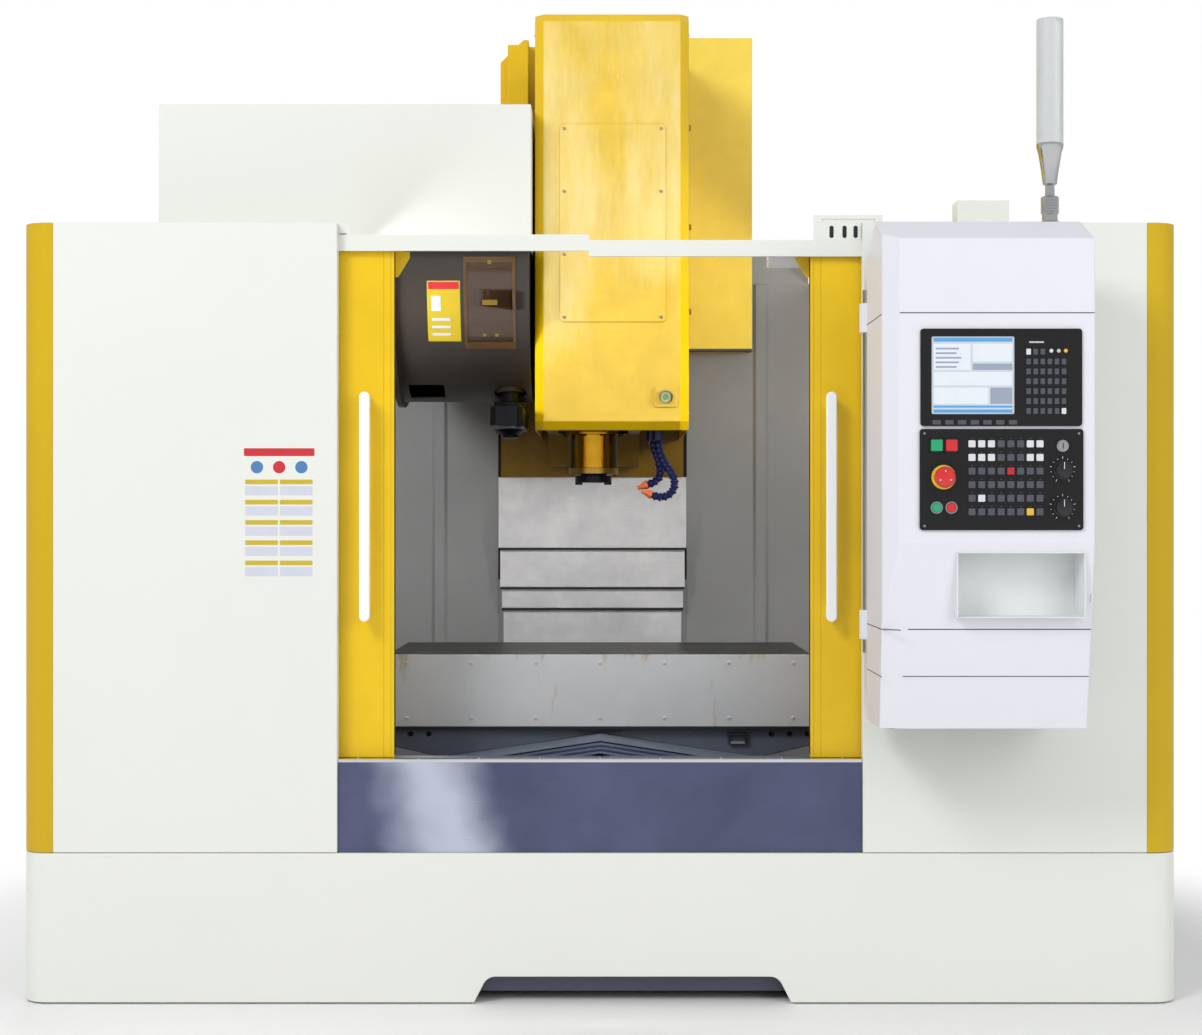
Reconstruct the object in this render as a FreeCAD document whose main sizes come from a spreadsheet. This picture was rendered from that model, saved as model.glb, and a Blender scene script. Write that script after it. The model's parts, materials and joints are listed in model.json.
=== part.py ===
"""CNC vertical machining centre with sliding doors, swivelling pendant and arm-type tool changer.

Frame: +Z up, the operator stands on the -Y side, the origin lies on the floor below the machine's middle.
All sizes are in millimetres.
"""
import FreeCAD
import Part
import Sketcher
import math
import os
import re

SIZES = {
    # Enclosure
    "cabinet_width": 3550,
    "cabinet_front": -1020,
    "cabinet_back": 740,
    "cabinet_top": 2393,
    "sheet": 3,
    "opening_half": 805,
    "panel_depth": 48,
    "pillar_width": 100,
    "pillar_round": 80,
    "side_panel_depth": 40,
    "roof_sheet": 4,
    # Plinth and tank
    "plinth_lift": 5,
    "plinth_top": 462,
    "plinth_wall": 40,
    "notch_left": -388,
    "notch_right": 588,
    "notch_slant": 43,
    "notch_height": 84,
    "notch_round": 40,
    "tank_half": 900,
    "tank_front": -960,
    "tank_back": -560,
    "tank_lift": 28,
    "tank_skid": 60,
    "pan_floor": 400,
    "pan_sheet": 4,
    "pan_flat_half": 600,
    "drain_width": 60,
    # Bed
    "bed_half": 560,
    "bed_front": -540,
    "bed_back": 1440,
    "bed_lift": 60,
    "bed_top": 520,
    "bed_cell_top": 340,
    "bed_rim": 120,
    "bed_rib": 80,
    "bed_cells": 2,
    "way_height": 60,
    "way_width": 110,
    "way_offset": 400,
    "trough_half": 120,
    "trough_floor": 400,
    "seat_top": 640,
    "foot_radius": 75,
    "foot_pad": 18,
    "foot_stud": 21,
    "slide_gap": 0.1,
    # Column
    "column_centre": -30,
    "column_half": 360,
    "column_foot_half": 500,
    "column_front": 785,
    "column_back": 1430,
    "column_top": 3358,
    "column_bevel": 90,
    "column_foot_top": 900,
    "column_neck": 1250,
    "column_wall": 80,
    "column_cell": 773,
    "column_rib": 80,
    "column_cells": 3,
    "channel_half": 250,
    "channel_depth": 120,
    "z_way_front": 745,
    "z_way_width": 80,
    "z_way_bottom": 1000,
    "z_way_top": 3330,
    # Saddle and table
    "saddle_half": 740,
    "saddle_waist_half": 520,
    "saddle_front": -450,
    "saddle_back": 170,
    "saddle_waist": 690,
    "saddle_top": 800,
    "x_way_top": 850,
    "x_way_width": 90,
    "x_way_offset": 200,
    "table_half": 700,
    "table_front": -490,
    "table_depth": 700,
    "table_top": 1036,
    "table_bottom": 916,
    "table_leg_drop": 30,
    "slot_width": 18,
    "slot_foot_width": 30,
    "slot_neck": 18,
    "slot_depth": 32,
    "slot_pitch": 125,
    "slot_count": 5,
    "guard_bottom": 798,
    "guard_sheet": 6,
    # Ball screws and motors
    "screw_radius": 20,
    "screw_gap": 0.5,
    "y_screw_height": 485,
    "x_screw_height": 800,
    "z_screw_depth": 825,
    "nut_half": 55,
    "motor_half": 65,
    "motor_length": 160,
    # Head
    "head_front": -275,
    "head_left": -223,
    "head_right": 304,
    "head_bottom": 1789,
    "head_top": 3214,
    "head_bevel": 30,
    "slide_plate_left": -381,
    "slide_plate_right": 319,
    "slide_plate_front": 630,
    "slide_plate_bottom": 1645,
    "slide_plate_top": 2600,
    "spindle_across": -24,
    "spindle_ahead": -40,
    "arm_casting_half": 170,
    "arm_casting_front": -160,
    "arm_casting_bottom": 1800,
    "arm_casting_top": 2560,
    "cartridge_radius": 86.5,
    "cartridge_bottom": 1640,
    "cartridge_top": 2300,
    "cartridge_flange": 125,
    "spindle_radius": 45,
    "spindle_fit": 0.08,
    "nose_radius": 64,
    "nose_bottom": 1613,
    "nose_height": 24,
    "taper_large": 34.925,
    "taper_depth": 101.8,
    "drawbar_radius": 13,
    "drive_key_width": 25.4,
    "drive_key_height": 8,
    "spindle_motor_half": 130,
    "spindle_motor_top": 3150,
    "service_left": -138,
    "service_right": 224,
    "service_bottom": 2157,
    "service_top": 2832,
    "plate_proud": 6,
    "sight_across": 224,
    "sight_height": 1901,
    # Coolant line
    "line_across": 201,
    "line_ahead": -120,
    "line_radius": 13,
    "line_segment": 18,
    "nozzle_length": 40,
    # Z way covers
    "cover_left": -391,
    "cover_right": 331,
    "cover_inset": 6,
    "cover_front": 640,
    "cover_pitch": 12,
    "cover_flange_back": 690,
    "cover_top_bottom": 1366,
    "cover_upper_bottom": 1215,
    "cover_upper_height": 278,
    "cover_lower_bottom": 1134,
    "cover_lower_height": 215,
    "cover_foot_top": 1250,
    # Y way covers
    "roof_half": 500,
    "roof_eave": 700,
    "roof_apex": 774,
    "roof_skirt": 600,
    "roof_pitch": 6,
    "roof_length": 240,
    "roof_front": -895,
    # Doors
    "door_left_edge": -636,
    "door_right_edge": 650,
    "door_width": 850,
    "door_front": -960,
    "door_thickness": 45,
    "clearance": 0.3,
    "sill_top": 748,
    "rail_bottom": 2322,
    "rail_height": 20,
    "window_bottom": 1150,
    "window_top": 1950,
    "window_near": 225,
    "window_far": 755,
    "window_round": 40,
    "pane_lap": 15,
    "pane_thickness": 6,
    "handle_offset": 85,
    "right_handle_offset": 59,
    "handle_width": 32,
    "handle_bottom": 1171,
    "handle_top": 1875,
    "handle_reach": 70,
    "handle_bar": 26,
    "handle_foot": 60,
    # Header and apron
    "header_front": -985,
    "header_step": -34,
    "header_low": 2294,
    "header_drop": 17,
    "header_strip": 50,
    "rail_half": 1640,
    "rail_back": -890,
    "apron_front": -1005,
    "apron_back": -900,
    # Splash walls
    "splash_half": 1510,
    "splash_front": -890,
    "splash_back": 690,
    "splash_left_edge": -394,
    "splash_right_edge": 334,
    "fold_width": 60,
    "fold_depth": 12,
    "fold_pitch": 230,
    "fold_count": 4,
    # Tool magazine and changer
    "drum_axis_ahead": 100,
    "drum_axis_height": 2355,
    "drum_radius": 450,
    "drum_left": -720,
    "drum_right": -240,
    "drum_lip": 20,
    "hood_left": -1482,
    "hood_right": -232,
    "hood_front": -390,
    "hood_back": 590,
    "hood_top": 2878,
    "frame_left": -440,
    "frame_right": -400,
    "frame_bottom": 2200,
    "frame_top": 2500,
    "frame_back": 900,
    "axle_radius": 35,
    "axle_end": -700,
    "running_fit": 0.1,
    "hub_radius": 75,
    "pot_circle": 350,
    "pot_radius": 38,
    "pot_bore": 24,
    "pot_count": 24,
    "arm_across": -316,
    "arm_bottom": 1768,
    "arm_top": 1896,
    "arm_grip": 65,
    "arm_shaft_radius": 32,
    "arm_reach": 292,
    "arm_width": 110,
    "jaw_radius": 32,
    "arm_stroke": 140,
    # Cable chain cover
    "chain_left": 335,
    "chain_right": 576,
    "chain_bottom": 2121,
    "chain_top": 3308,
    "chain_front": 530,
    "chain_depth": 120,
    # Electrical cabinet
    "box_edge": 25,
    "bed_room": 80,
    "box_right": "=cabinet_width / 2 - box_edge",
    "box_left": "=bed_half + bed_room",
    "box_back": 1440,
    "box_bottom": 130,
    "box_top": 2300,
    "box_door": 35,
    # Lamps
    "lamp_inset": 377,
    "lamp_across": "=cabinet_width / 2 - lamp_inset",
    "lamp_ahead": -920,
    "tube_radius": 42,
    "tube_bottom": 2649,
    "tube_top": 3039,
    "tube_wall": 3,
    # Pendant
    "pendant_left": 805,
    "pendant_right": 1404,
    "pendant_front": -1500,
    "pendant_back": -1115,
    "pendant_ridge": -1310,
    "pendant_bottom": 881,
    "pendant_fold": 1418,
    "pendant_front_top": 2282,
    "pendant_back_top": 2272,
    "pendant_apex": 2356,
    "pendant_slant": 100,
    "pendant_bevel": 45,
    "niche_left": 1015,
    "niche_right": 1374,
    "niche_bottom": 1207,
    "niche_top": 1389,
    "niche_depth": 130,
    "post_across": 822,
    "post_ahead": -1067,
    "post_radius": 24,
    "post_bottom": 1080,
    "post_top": 2180,
    "sleeve_radius": 34,
    "sleeve_height": 90,
    # Pendant panels
    "display_left": 908,
    "display_right": 1366,
    "display_bottom": 1749,
    "display_top": 2025,
    "screen_left": 939,
    "screen_right": 1174,
    "screen_bottom": 1783,
    "screen_top": 2003,
    "panel_left": 906,
    "panel_right": 1369,
    "panel_bottom": 1454,
    "panel_top": 1741,
    "panel_proud": 8,
    "key_size": 20,
    "key_proud": 3,
    "key_pitch": 27.5,
    "key_row_pitch": 38.5,
    "small_key": 11,
    "small_key_pitch": 20,
    "button_gap": 0.4,
    "square_button": 33,
    "round_button": 14,
    "button_proud": 9,
    "button_stem": 8,
    "estop_radius": 30,
    "estop_stem": 11,
    "estop_proud": 38,
    "knob_radius": 27,
    "knob_proud": 24,
    # Small sizes that several parts share
    "drain_margin": 40,
    "bearing_wall": 60,
    "x_bearing_wall": 15,
    "seat_setback": 10,
    "foot_nut_radius": 34,
    "foot_nut_bottom": 34,
    "z_way_outer": 330,
    "z_screw_bottom": 940,
    "z_screw_top": 3140,
    "motor_flange": 12,
    "motor_cap": 40,
    "saddle_wing": 60,
    "nut_room": 10,
    "table_lip": 25,
    "guard_cheek": 75,
    "arm_haunch": 120,
    "z_nut_bottom": 1900,
    "plate_round": 15,
    "sight_half_width": 38,
    "sight_half_height": 35,
    "sight_radius": 22,
    "cartridge_flange_height": 20,
    "cartridge_chamfer": 12,
    "line_connector": 30,
    "line_block": 30,
    "splash_gap": 5,
    "foot_ear": 40,
    "panel_gap": 2,
    "slotted_left": 658,
    "slotted_right": 870,
    "slotted_top": 2421,
    "slot_end": 24,
    "junction_inset": 504,
    "junction_width": 160,
    "junction_right": "=cabinet_width / 2 - junction_inset",
    "junction_left": "=junction_right - junction_width",
    "junction_depth": 100,
    "junction_top": 2476,
    "door_rim": 3,
    "handle_round": 12,
    "gearbox_front": -150,
    "gearbox_back": 70,
    "gearbox_bottom": 2000,
    "gearbox_top": 2400,
    "sleeve_outer": 50,
    "sleeve_bottom": 1930,
    "arm_shaft_top": 2260,
    "arm_hub_radius": 60,
    "arm_jaw_wall": 18,
    "pot_left": -585,
    "web_left": -480,
    "web_right": -456,
    "disc_rim": 12,
    "tint_left": -456,
    "tint_right": -292,
    "tint_bottom": 2075,
    "tint_top": 2364,
    "pot_door_half": 62,
    "chain_bracket": 15,
    "chain_bracket_bottom": 2600,
    "box_leg": 80,
    "module_margin": 170,
    "module_width": "=(box_right - box_left - 2 * box_leg - module_margin) / 3",
    "module_height": 480,
    "module_depth": 280,
    "hinge_radius": 8,
    "hinge_height": 60,
    "hinge_low": 400,
    "hinge_high": 1900,
    "cooler_inset": 260,
    "cooler_width": 400,
    "cooler_left": "=box_left + cooler_inset",
    "cooler_right": "=cooler_left + cooler_width",
    "cooler_bottom": 600,
    "cooler_top": 1400,
    "cooler_depth": 71,
    "latch_bottom": 1150,
    "light_left": 527,
    "light_right": 637,
    "light_bottom": 2280,
    "light_top": 2344,
    "light_depth": 90,
    "panel_rim": 14,
    "bracket_height": 40,
    "mdi_left": 1207,
    "mdi_columns": 6,
    "small_key_row": 28,
    "soft_columns": 7,
    "soft_pitch": 36,
    "key_columns": 8,
    "keys_left": 1043,
    "keys_bottom": 1496,
    "estop_across": 973,
    "estop_height": 1604,
    "estop_dome": 8,
    "button_left": 953,
    "button_right": 995,
    "square_height": 1694,
    "round_height": 1518,
    "button_round": 3,
    "knob_across": 1310,
    "lock_height": 1693,
    "feed_knob_height": 1625,
    "spindle_knob_height": 1519,
    "knob_skirt": 6,
}

PLANES = {"x": "YZ_Plane", "y": "XZ_Plane", "z": "XY_Plane"}
TURNS = {
    "x": FreeCAD.Rotation(FreeCAD.Vector(0, 1, 0), 90),
    "y": FreeCAD.Rotation(FreeCAD.Vector(1, 0, 0), -90),
    "z": FreeCAD.Rotation(),
}
WORD = re.compile(r"[a-z][a-z_]*")

doc = FreeCAD.newDocument("machining_centre")
sheet = doc.addObject("Spreadsheet::Sheet", "Sizes")
for row, (alias, value) in enumerate(SIZES.items(), 1):
    sheet.set(f"A{row}", alias)
    sheet.set(f"B{row}", str(value))
    sheet.setAlias(f"B{row}", alias)
doc.recompute()

nodes = []


def size(alias):
    """Value of one driving dimension, for the few places where a rule can't be bound."""
    return getattr(sheet, alias)


def bind(thing, prop, rule):
    """Tie a property to the sheet; a rule is a number or arithmetic on the sheet's names."""
    thing.setExpression(prop, WORD.sub(lambda name: "Sizes." + name.group(), str(rule)))


def keep(thing, name):
    """Name a finished sub-part and put it on the list of files."""
    thing.Label = name
    nodes.append(thing)
    return thing


def box(x, y, z):
    """Block between two X rules, two Y rules and two Z rules."""
    block = doc.addObject("Part::Box", "Block")
    for prop, axis, (low, high) in zip(("Length", "Width", "Height"), "xyz", (x, y, z)):
        bind(block, prop, f"({high}) - ({low})")
        bind(block, "Placement.Base." + axis, low)
    return block


def rod(axis, centre, radius, low, high):
    """Round bar along an axis; centre gives the two other coordinates in X, Y, Z order."""
    bar = doc.addObject("Part::Cylinder", "Bar")
    bar.Placement = FreeCAD.Placement(FreeCAD.Vector(), TURNS[axis])
    bind(bar, "Radius", radius)
    bind(bar, "Height", f"({high}) - ({low})")
    others = [letter for letter in "xyz" if letter != axis]
    bind(bar, "Placement.Base." + axis, low)
    for letter, rule in zip(others, centre):
        bind(bar, "Placement.Base." + letter, rule)
    return bar


def fuse(*shapes):
    """One solid from several that touch or overlap."""
    union = doc.addObject("Part::MultiFuse", "Union")
    union.Shapes = list(shapes)
    union.Refine = True
    return union


def cut(base, *tools):
    """Base with every tool taken away."""
    result = doc.addObject("Part::Cut", "Trim")
    result.Base = base
    result.Tool = tools[0] if len(tools) == 1 else fuse(*tools)
    result.Refine = True
    return result


def mirror(shape):
    """Left-hand copy of a right-hand shape."""
    twin = doc.addObject("Part::Mirroring", "Mirror")
    twin.Source = shape
    twin.Normal = FreeCAD.Vector(1, 0, 0)
    return twin


def group(*solids):
    """Separate solids that share one file."""
    bundle = doc.addObject("Part::Compound", "Group")
    bundle.Links = list(solids)
    return bundle


def sketch(part, axis, offset):
    """Empty sketch square to an axis of its body."""
    drawing = part.newObject("Sketcher::SketchObject", "Profile")
    plane = next(item for item in part.Origin.OriginFeatures if item.Role == PLANES[axis])
    drawing.AttachmentSupport = (plane, [""])
    drawing.MapMode = "FlatFace"
    sign = "-" if axis == "y" else ""
    bind(drawing, "AttachmentOffset.Base.z", f"{sign}({offset})")
    return drawing


def tie(drawing, kind, edge, place, value, rule):
    """Named constraint from the sketch origin, bound to a rule."""
    number = drawing.addConstraint(Sketcher.Constraint(kind, -1, 1, edge, place, value))
    name = f"{kind}_{edge}"
    drawing.renameConstraint(number, name)
    bind(drawing, "Constraints." + name, rule)


def outline(drawing, corners):
    """Closed outline of straight edges through corners that follow the sheet."""
    count = len(corners)
    turn = 2 * math.pi / count
    start = [FreeCAD.Vector(100 * math.cos(turn * i), 100 * math.sin(turn * i), 0) for i in range(count)]
    for i in range(count):
        drawing.addGeometry(Part.LineSegment(start[i], start[(i + 1) % count]), False)
    for i in range(count):
        drawing.addConstraint(Sketcher.Constraint("Coincident", i, 2, (i + 1) % count, 1))
    for i, (across, up) in enumerate(corners):
        tie(drawing, "DistanceX", i, 1, start[i].x, across)
        tie(drawing, "DistanceY", i, 1, start[i].y, up)


def circle(drawing, across, up, radius):
    """Circle in a sketch, with its centre and radius bound."""
    edge = drawing.addGeometry(Part.Circle(FreeCAD.Vector(1, 1, 0), FreeCAD.Vector(0, 0, 1), 1), False)
    tie(drawing, "DistanceX", edge, 3, 1, across)
    tie(drawing, "DistanceY", edge, 3, 1, up)
    number = drawing.addConstraint(Sketcher.Constraint("Radius", edge, 1))
    name = f"Radius_{edge}"
    drawing.renameConstraint(number, name)
    bind(drawing, "Constraints." + name, radius)


def rectangle(across, up):
    """Corners of a rectangle between two rules each way."""
    return [(across[0], up[0]), (across[1], up[0]), (across[1], up[1]), (across[0], up[1])]


def feature(part, kind, drawing, length):
    """Pad or pocket of one sketch."""
    result = part.newObject("PartDesign::" + kind, kind)
    result.Profile = drawing
    bind(result, "Length", length)
    return result


def pad(part, axis, corners, low, high):
    """Prism along an axis, added to a body."""
    drawing = sketch(part, axis, high if axis == "y" else low)
    outline(drawing, corners)
    return feature(part, "Pad", drawing, f"({high}) - ({low})")


def pocket(part, axis, corners, low, high):
    """Prism along an axis, taken from a body."""
    drawing = sketch(part, axis, low if axis == "y" else high)
    outline(drawing, corners)
    return feature(part, "Pocket", drawing, f"({high}) - ({low})")


def drill(part, axis, across, up, radius, low, high):
    """Round hole along an axis, taken from a body."""
    drawing = sketch(part, axis, low if axis == "y" else high)
    circle(drawing, across, up, radius)
    return feature(part, "Pocket", drawing, f"({high}) - ({low})")


def prism(axis, corners, low, high):
    """New body with one prism."""
    part = doc.addObject("PartDesign::Body", "Casting")
    pad(part, axis, corners, low, high)
    return part


def lathe(profile, x, y, z, axis="z"):
    """New body turned round an axis through a point; profile corners are (radius, distance along)."""
    part = doc.addObject("PartDesign::Body", "Turned")
    part.Placement = FreeCAD.Placement(FreeCAD.Vector(), TURNS[axis])
    drawing = sketch(part, "y", "0")
    outline(drawing, profile)
    turned = part.newObject("PartDesign::Revolution", "Revolution")
    turned.Profile = drawing
    turned.ReferenceAxis = (drawing, ["V_Axis"])
    turned.Angle = 360
    for letter, rule in zip("xyz", (x, y, z)):
        bind(part, "Placement.Base." + letter, rule)
    return part


def repeat(part, original, axis, pitch, count):
    """Linear pattern of one feature along an axis of its body."""
    pattern = part.newObject("PartDesign::LinearPattern", "Pattern")
    pattern.Originals = [original]
    line = next(item for item in part.Origin.OriginFeatures if item.Role == axis.upper() + "_Axis")
    pattern.Direction = (line, [""])
    bind(pattern, "Length", f"({pitch}) * ({count} - 1)")
    bind(pattern, "Occurrences", count)
    part.Tip = pattern
    return pattern


def soften(part, kind, radius, axis, where):
    """Fillet or chamfer the edges of a body that run along an axis and pass a test on their middle."""
    doc.recompute()
    base = part.Tip
    along = {"x": FreeCAD.Vector(1, 0, 0), "y": FreeCAD.Vector(0, 1, 0), "z": FreeCAD.Vector(0, 0, 1)}[axis]
    names = []
    for number, edge in enumerate(base.Shape.Edges, 1):
        ends = edge.Vertexes
        if len(ends) != 2 or edge.Curve.TypeId != "Part::GeomLine":
            continue
        span = ends[1].Point - ends[0].Point
        if abs(span.dot(along)) > 0.999 * span.Length and where((ends[0].Point + ends[1].Point) * 0.5):
            names.append(f"Edge{number}")
    result = part.newObject("PartDesign::" + kind, kind)
    result.Base = (base, names)
    bind(result, "Radius" if kind == "Fillet" else "Size", radius)
    return result


def tray(x, y, z, wall, opened):
    """Folded sheet tray: a block hollowed from one side; opened is that side, such as -y or +z."""
    inner = {"x": x, "y": y, "z": z}
    for letter, (low, high) in list(inner.items()):
        inner[letter] = (f"{low} + {wall}", f"{high} - {wall}")
    letter = opened[1]
    low, high = inner[letter]
    inner[letter] = (low, f"{high} + 2 * {wall}") if opened[0] == "+" else (f"{low} - 2 * {wall}", high)
    return cut(box(x, y, z), box(inner["x"], inner["y"], inner["z"]))


HALF = "cabinet_width / 2"
INNER = "(cabinet_width / 2 - plinth_wall)"
TABLE_MID = "(table_front + table_depth / 2)"
SCREW_HOLE = "screw_radius + screw_gap"


def near(value, target):
    """True where a coordinate lies on a target, within a hair."""
    return abs(value - target) < 0.01


def both(rule):
    """The same distance to the left and to the right of the middle."""
    return (f"-({rule})", rule)


def around(middle, half_width):
    """Range of a given half width round a middle."""
    return (f"{middle} - {half_width}", f"{middle} + {half_width}")


def make_plinth():
    """Skirt round three sides; a notch in front leaves room for the coolant tank."""
    wall = "cabinet_front + plinth_wall"
    plan = [
        (f"-({HALF})", "cabinet_front"), (HALF, "cabinet_front"), (HALF, "cabinet_back"),
        (INNER, "cabinet_back"), (INNER, wall), (f"-{INNER}", wall), (f"-{INNER}", "cabinet_back"),
        (f"-({HALF})", "cabinet_back"),
    ]
    plinth = prism("z", plan, "plinth_lift", "plinth_top")
    notch = [
        ("notch_left", "0"), ("notch_left + notch_slant", "notch_height"),
        ("notch_right - notch_slant", "notch_height"), ("notch_right", "0"),
    ]
    pocket(plinth, "y", notch, "cabinet_front", wall)
    soften(plinth, "Fillet", "notch_round", "y", lambda spot: near(spot.z, size("notch_height")))
    corner = size("cabinet_width") / 2
    front = size("cabinet_front")
    soften(plinth, "Fillet", "pillar_round", "z",
           lambda spot: near(abs(spot.x), corner) and near(spot.y, front))
    keep(plinth, "base_plinth")


def make_tank():
    """Open coolant tank on two skids, seen through the notch."""
    tank = tray(both("tank_half"), ("tank_front", "tank_back"), ("tank_lift", "pan_floor"), "sheet", "+z")
    skid = box(("tank_half - 3 * tank_skid", "tank_half - 2 * tank_skid"), ("tank_front", "tank_back"),
               ("0", "tank_lift"))
    keep(fuse(tank, skid, mirror(skid)), "coolant_tank")


def roof_profile(outer, inner, skirt):
    """Section of a Y cover between two insets from the largest cover: roof plates and skirts."""
    corners = []
    for inset, sides in ((outer, ("-", "")), (inner, ("", "-"))):
        half, eave, apex = (f"roof_half - {inset}", f"roof_eave - {inset}", f"roof_apex - {inset}")
        first, last = (f"{side}({half})" for side in sides)
        corners += [(first, skirt), (first, eave), ("0", apex), (last, eave), (last, skirt)]
    return corners


def y_cover(part, level, front, back, skirt):
    """Add one section of the Y cover to a body, with the wiper that rides on the section inside it."""
    inset = f"{level} * roof_pitch"
    pad(part, "y", roof_profile(inset, f"({inset} + sheet)", skirt), front, back)
    if level < 3:
        wiper = roof_profile(f"({inset} + sheet)", f"({level + 1} * roof_pitch - clearance)", skirt)
        pad(part, "y", wiper, front, f"{front} + sheet")


def make_chip_pan():
    """Sheet floor that slopes to the middle, with drains to the tank and the fixed hood of the Y cover."""
    top, under = "plinth_top", "plinth_top - pan_sheet"
    skin = "pan_floor + pan_sheet"
    whole = [
        (f"-{INNER}", top), (f"-{INNER}", under), ("-pan_flat_half", "pan_floor"),
        ("pan_flat_half", "pan_floor"), (INNER, under), (INNER, top), ("pan_flat_half", skin),
        ("-pan_flat_half", skin),
    ]
    front = prism("y", whole, "cabinet_front + plinth_wall", "bed_front")
    for side in ("", "-"):
        outside = "pan_flat_half - drain_margin"
        edges = [f"{side}({outside})", f"{side}({outside} - drain_width)"]
        hole = rectangle(edges, ("tank_front + drain_margin", "tank_back - drain_margin"))
        pocket(front, "z", hole, "pan_floor", skin)
    flank = [
        (INNER, top), (INNER, under), ("pan_flat_half", "pan_floor"), ("bed_half", "pan_floor"),
        ("bed_half", skin), ("pan_flat_half", skin),
    ]
    right = prism("y", flank, "bed_front", "splash_back")
    hood = doc.addObject("PartDesign::Body", "Hood")
    y_cover(hood, 3, "roof_front", "roof_front + roof_length", "pan_floor")
    keep(fuse(front, right, mirror(right), hood), "chip_pan")


def make_bed():
    """Ribbed casting with two box ways, the trough of the Y screw and the seat of the column."""
    bed = prism("y", rectangle(both("bed_half"), ("bed_lift", "bed_top")), "bed_front", "bed_back")
    way_top = "bed_top + way_height"
    for middle in both("way_offset"):
        way = rectangle(around(middle, "way_width / 2"), ("bed_top", way_top))
        pad(bed, "y", way, "bed_front", "splash_back")
    pocket(bed, "y", rectangle(both("trough_half"), ("trough_floor", "bed_top")), "bed_front + bearing_wall",
           "splash_back")
    seat = rectangle(around("column_centre", "column_foot_half"), ("bed_top", "seat_top"))
    pad(bed, "y", seat, "splash_back + seat_setback", "bed_back")
    drill(bed, "y", "0", "y_screw_height", SCREW_HOLE, "bed_front", "splash_back + bearing_wall / 2")
    cell = "((bed_back - bed_front - 2 * bed_rim - (bed_cells - 1) * bed_rib) / bed_cells)"
    long_way = ("bed_front + bed_rim", f"bed_front + bed_rim + {cell}")
    for edges in (("bed_rib / 2", "bed_half - bed_rim"), ("bed_rim - bed_half", "-bed_rib / 2")):
        hollow = pocket(bed, "z", rectangle(edges, long_way), "bed_lift", "bed_cell_top")
        repeat(bed, hollow, "y", f"{cell} + bed_rib", "bed_cells")
    keep(bed, "bed_casting")


def make_feet():
    """Eight levelling feet: pad, stud and lock nut under the rim of the bed."""
    profile = [
        ("0", "0"), ("foot_radius", "0"), ("foot_radius", "foot_pad"), ("foot_stud", "1.5 * foot_pad"),
        ("foot_stud", "foot_nut_bottom"), ("foot_nut_radius", "foot_nut_bottom"),
        ("foot_nut_radius", "foot_nut_bottom + foot_pad"), ("foot_stud", "foot_nut_bottom + foot_pad"),
        ("foot_stud", "bed_lift"), ("0", "bed_lift"),
    ]
    rows = 4
    feet = []
    for row in range(rows):
        ahead = f"bed_front + bed_rim / 2 + {row} * (bed_back - bed_front - bed_rim) / {rows - 1}"
        for across in both("bed_half - bed_rim / 2"):
            feet.append(lathe(profile, across, ahead, "0"))
    keep(group(*feet), "levelling_feet")


def make_column():
    """Column casting: flared foot, two box ways, screw channel between them and open cells behind."""
    left, right = around("column_centre", "column_half")
    foot_left, foot_right = around("column_centre", "column_foot_half")
    silhouette = [
        (foot_left, "seat_top"), (foot_right, "seat_top"), (foot_right, "column_foot_top"),
        (right, "column_neck"), (right, "column_top"), (f"{left} + column_bevel", "column_top"),
        (left, "column_top - column_bevel"),
        (left, "column_neck"), (foot_left, "column_foot_top"),
    ]
    column = prism("y", silhouette, "column_front", "column_back")
    channel = around("column_centre", "channel_half")
    channel_back = "column_front + channel_depth"
    pocket(column, "y", rectangle(channel, ("column_foot_top", "column_top")), "column_front", channel_back)
    for side in ("-", "+"):
        edges = (f"column_centre {side} z_way_outer", f"column_centre {side} (z_way_outer - z_way_width)")
        pad(column, "y", rectangle(edges, ("z_way_bottom", "z_way_top")), "z_way_front", "column_front")
    for low in ("z_screw_bottom", "z_screw_top - bearing_wall"):
        block = rectangle(around("column_centre", "motor_half"), (low, f"{low} + bearing_wall"))
        pad(column, "y", block, "column_front", channel_back)
    drill(column, "z", "column_centre", "z_screw_depth", SCREW_HOLE, "z_screw_bottom", "z_screw_top")
    inside = around("column_centre", "(column_half - column_wall)")
    first = "seat_top + column_rib"
    cell = rectangle(inside, (first, f"{first} + column_cell"))
    hollow = pocket(column, "y", cell, f"{channel_back} + column_wall", "column_back")
    repeat(column, hollow, "z", "column_cell + column_rib", "column_cells")
    keep(column, "column_casting")


def motor(axis, across, up, face, way):
    """Servo motor with flange and encoder cap; way is + or - along the axis, away from its seat."""
    def square(half_width, corner):
        """Square with cut corners round the motor axis."""
        near_in, far_in = f"{across} - {half_width} + {corner}", f"{across} + {half_width} - {corner}"
        low_in, high_in = f"{up} - {half_width} + {corner}", f"{up} + {half_width} - {corner}"
        left, right = around(across, half_width)
        low, high = around(up, half_width)
        return [(near_in, low), (far_in, low), (right, low_in), (right, high_in), (far_in, high),
                (near_in, high), (left, high_in), (left, low_in)]

    def stretch(start, end):
        """Range along the axis, from the seat outwards."""
        points = (f"{face} {way} {start}", f"{face} {way} {end}")
        return points if way == "+" else points[::-1]

    bevel, end = "motor_flange", "motor_length"
    part = prism(axis, square("motor_half + motor_flange", bevel), *stretch("0", "motor_flange"))
    pad(part, axis, square("motor_half", bevel), *stretch("motor_flange", end))
    pad(part, axis, square("motor_half * 0.7", bevel), *stretch(end, f"{end} + motor_cap"))
    return part


def make_motors():
    """Feed motors: Y in front of the bed, Z in the head of the column, X on the end of the saddle."""
    y_motor = motor("y", "0", "y_screw_height", "bed_front", "-")
    z_motor = motor("z", "column_centre", "z_screw_depth", "z_screw_top", "+")
    keep(group(y_motor, z_motor), "axis_motors")
    keep(motor("x", TABLE_MID, "x_screw_height", "saddle_half", "+"), "x_feed_motor")


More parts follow.
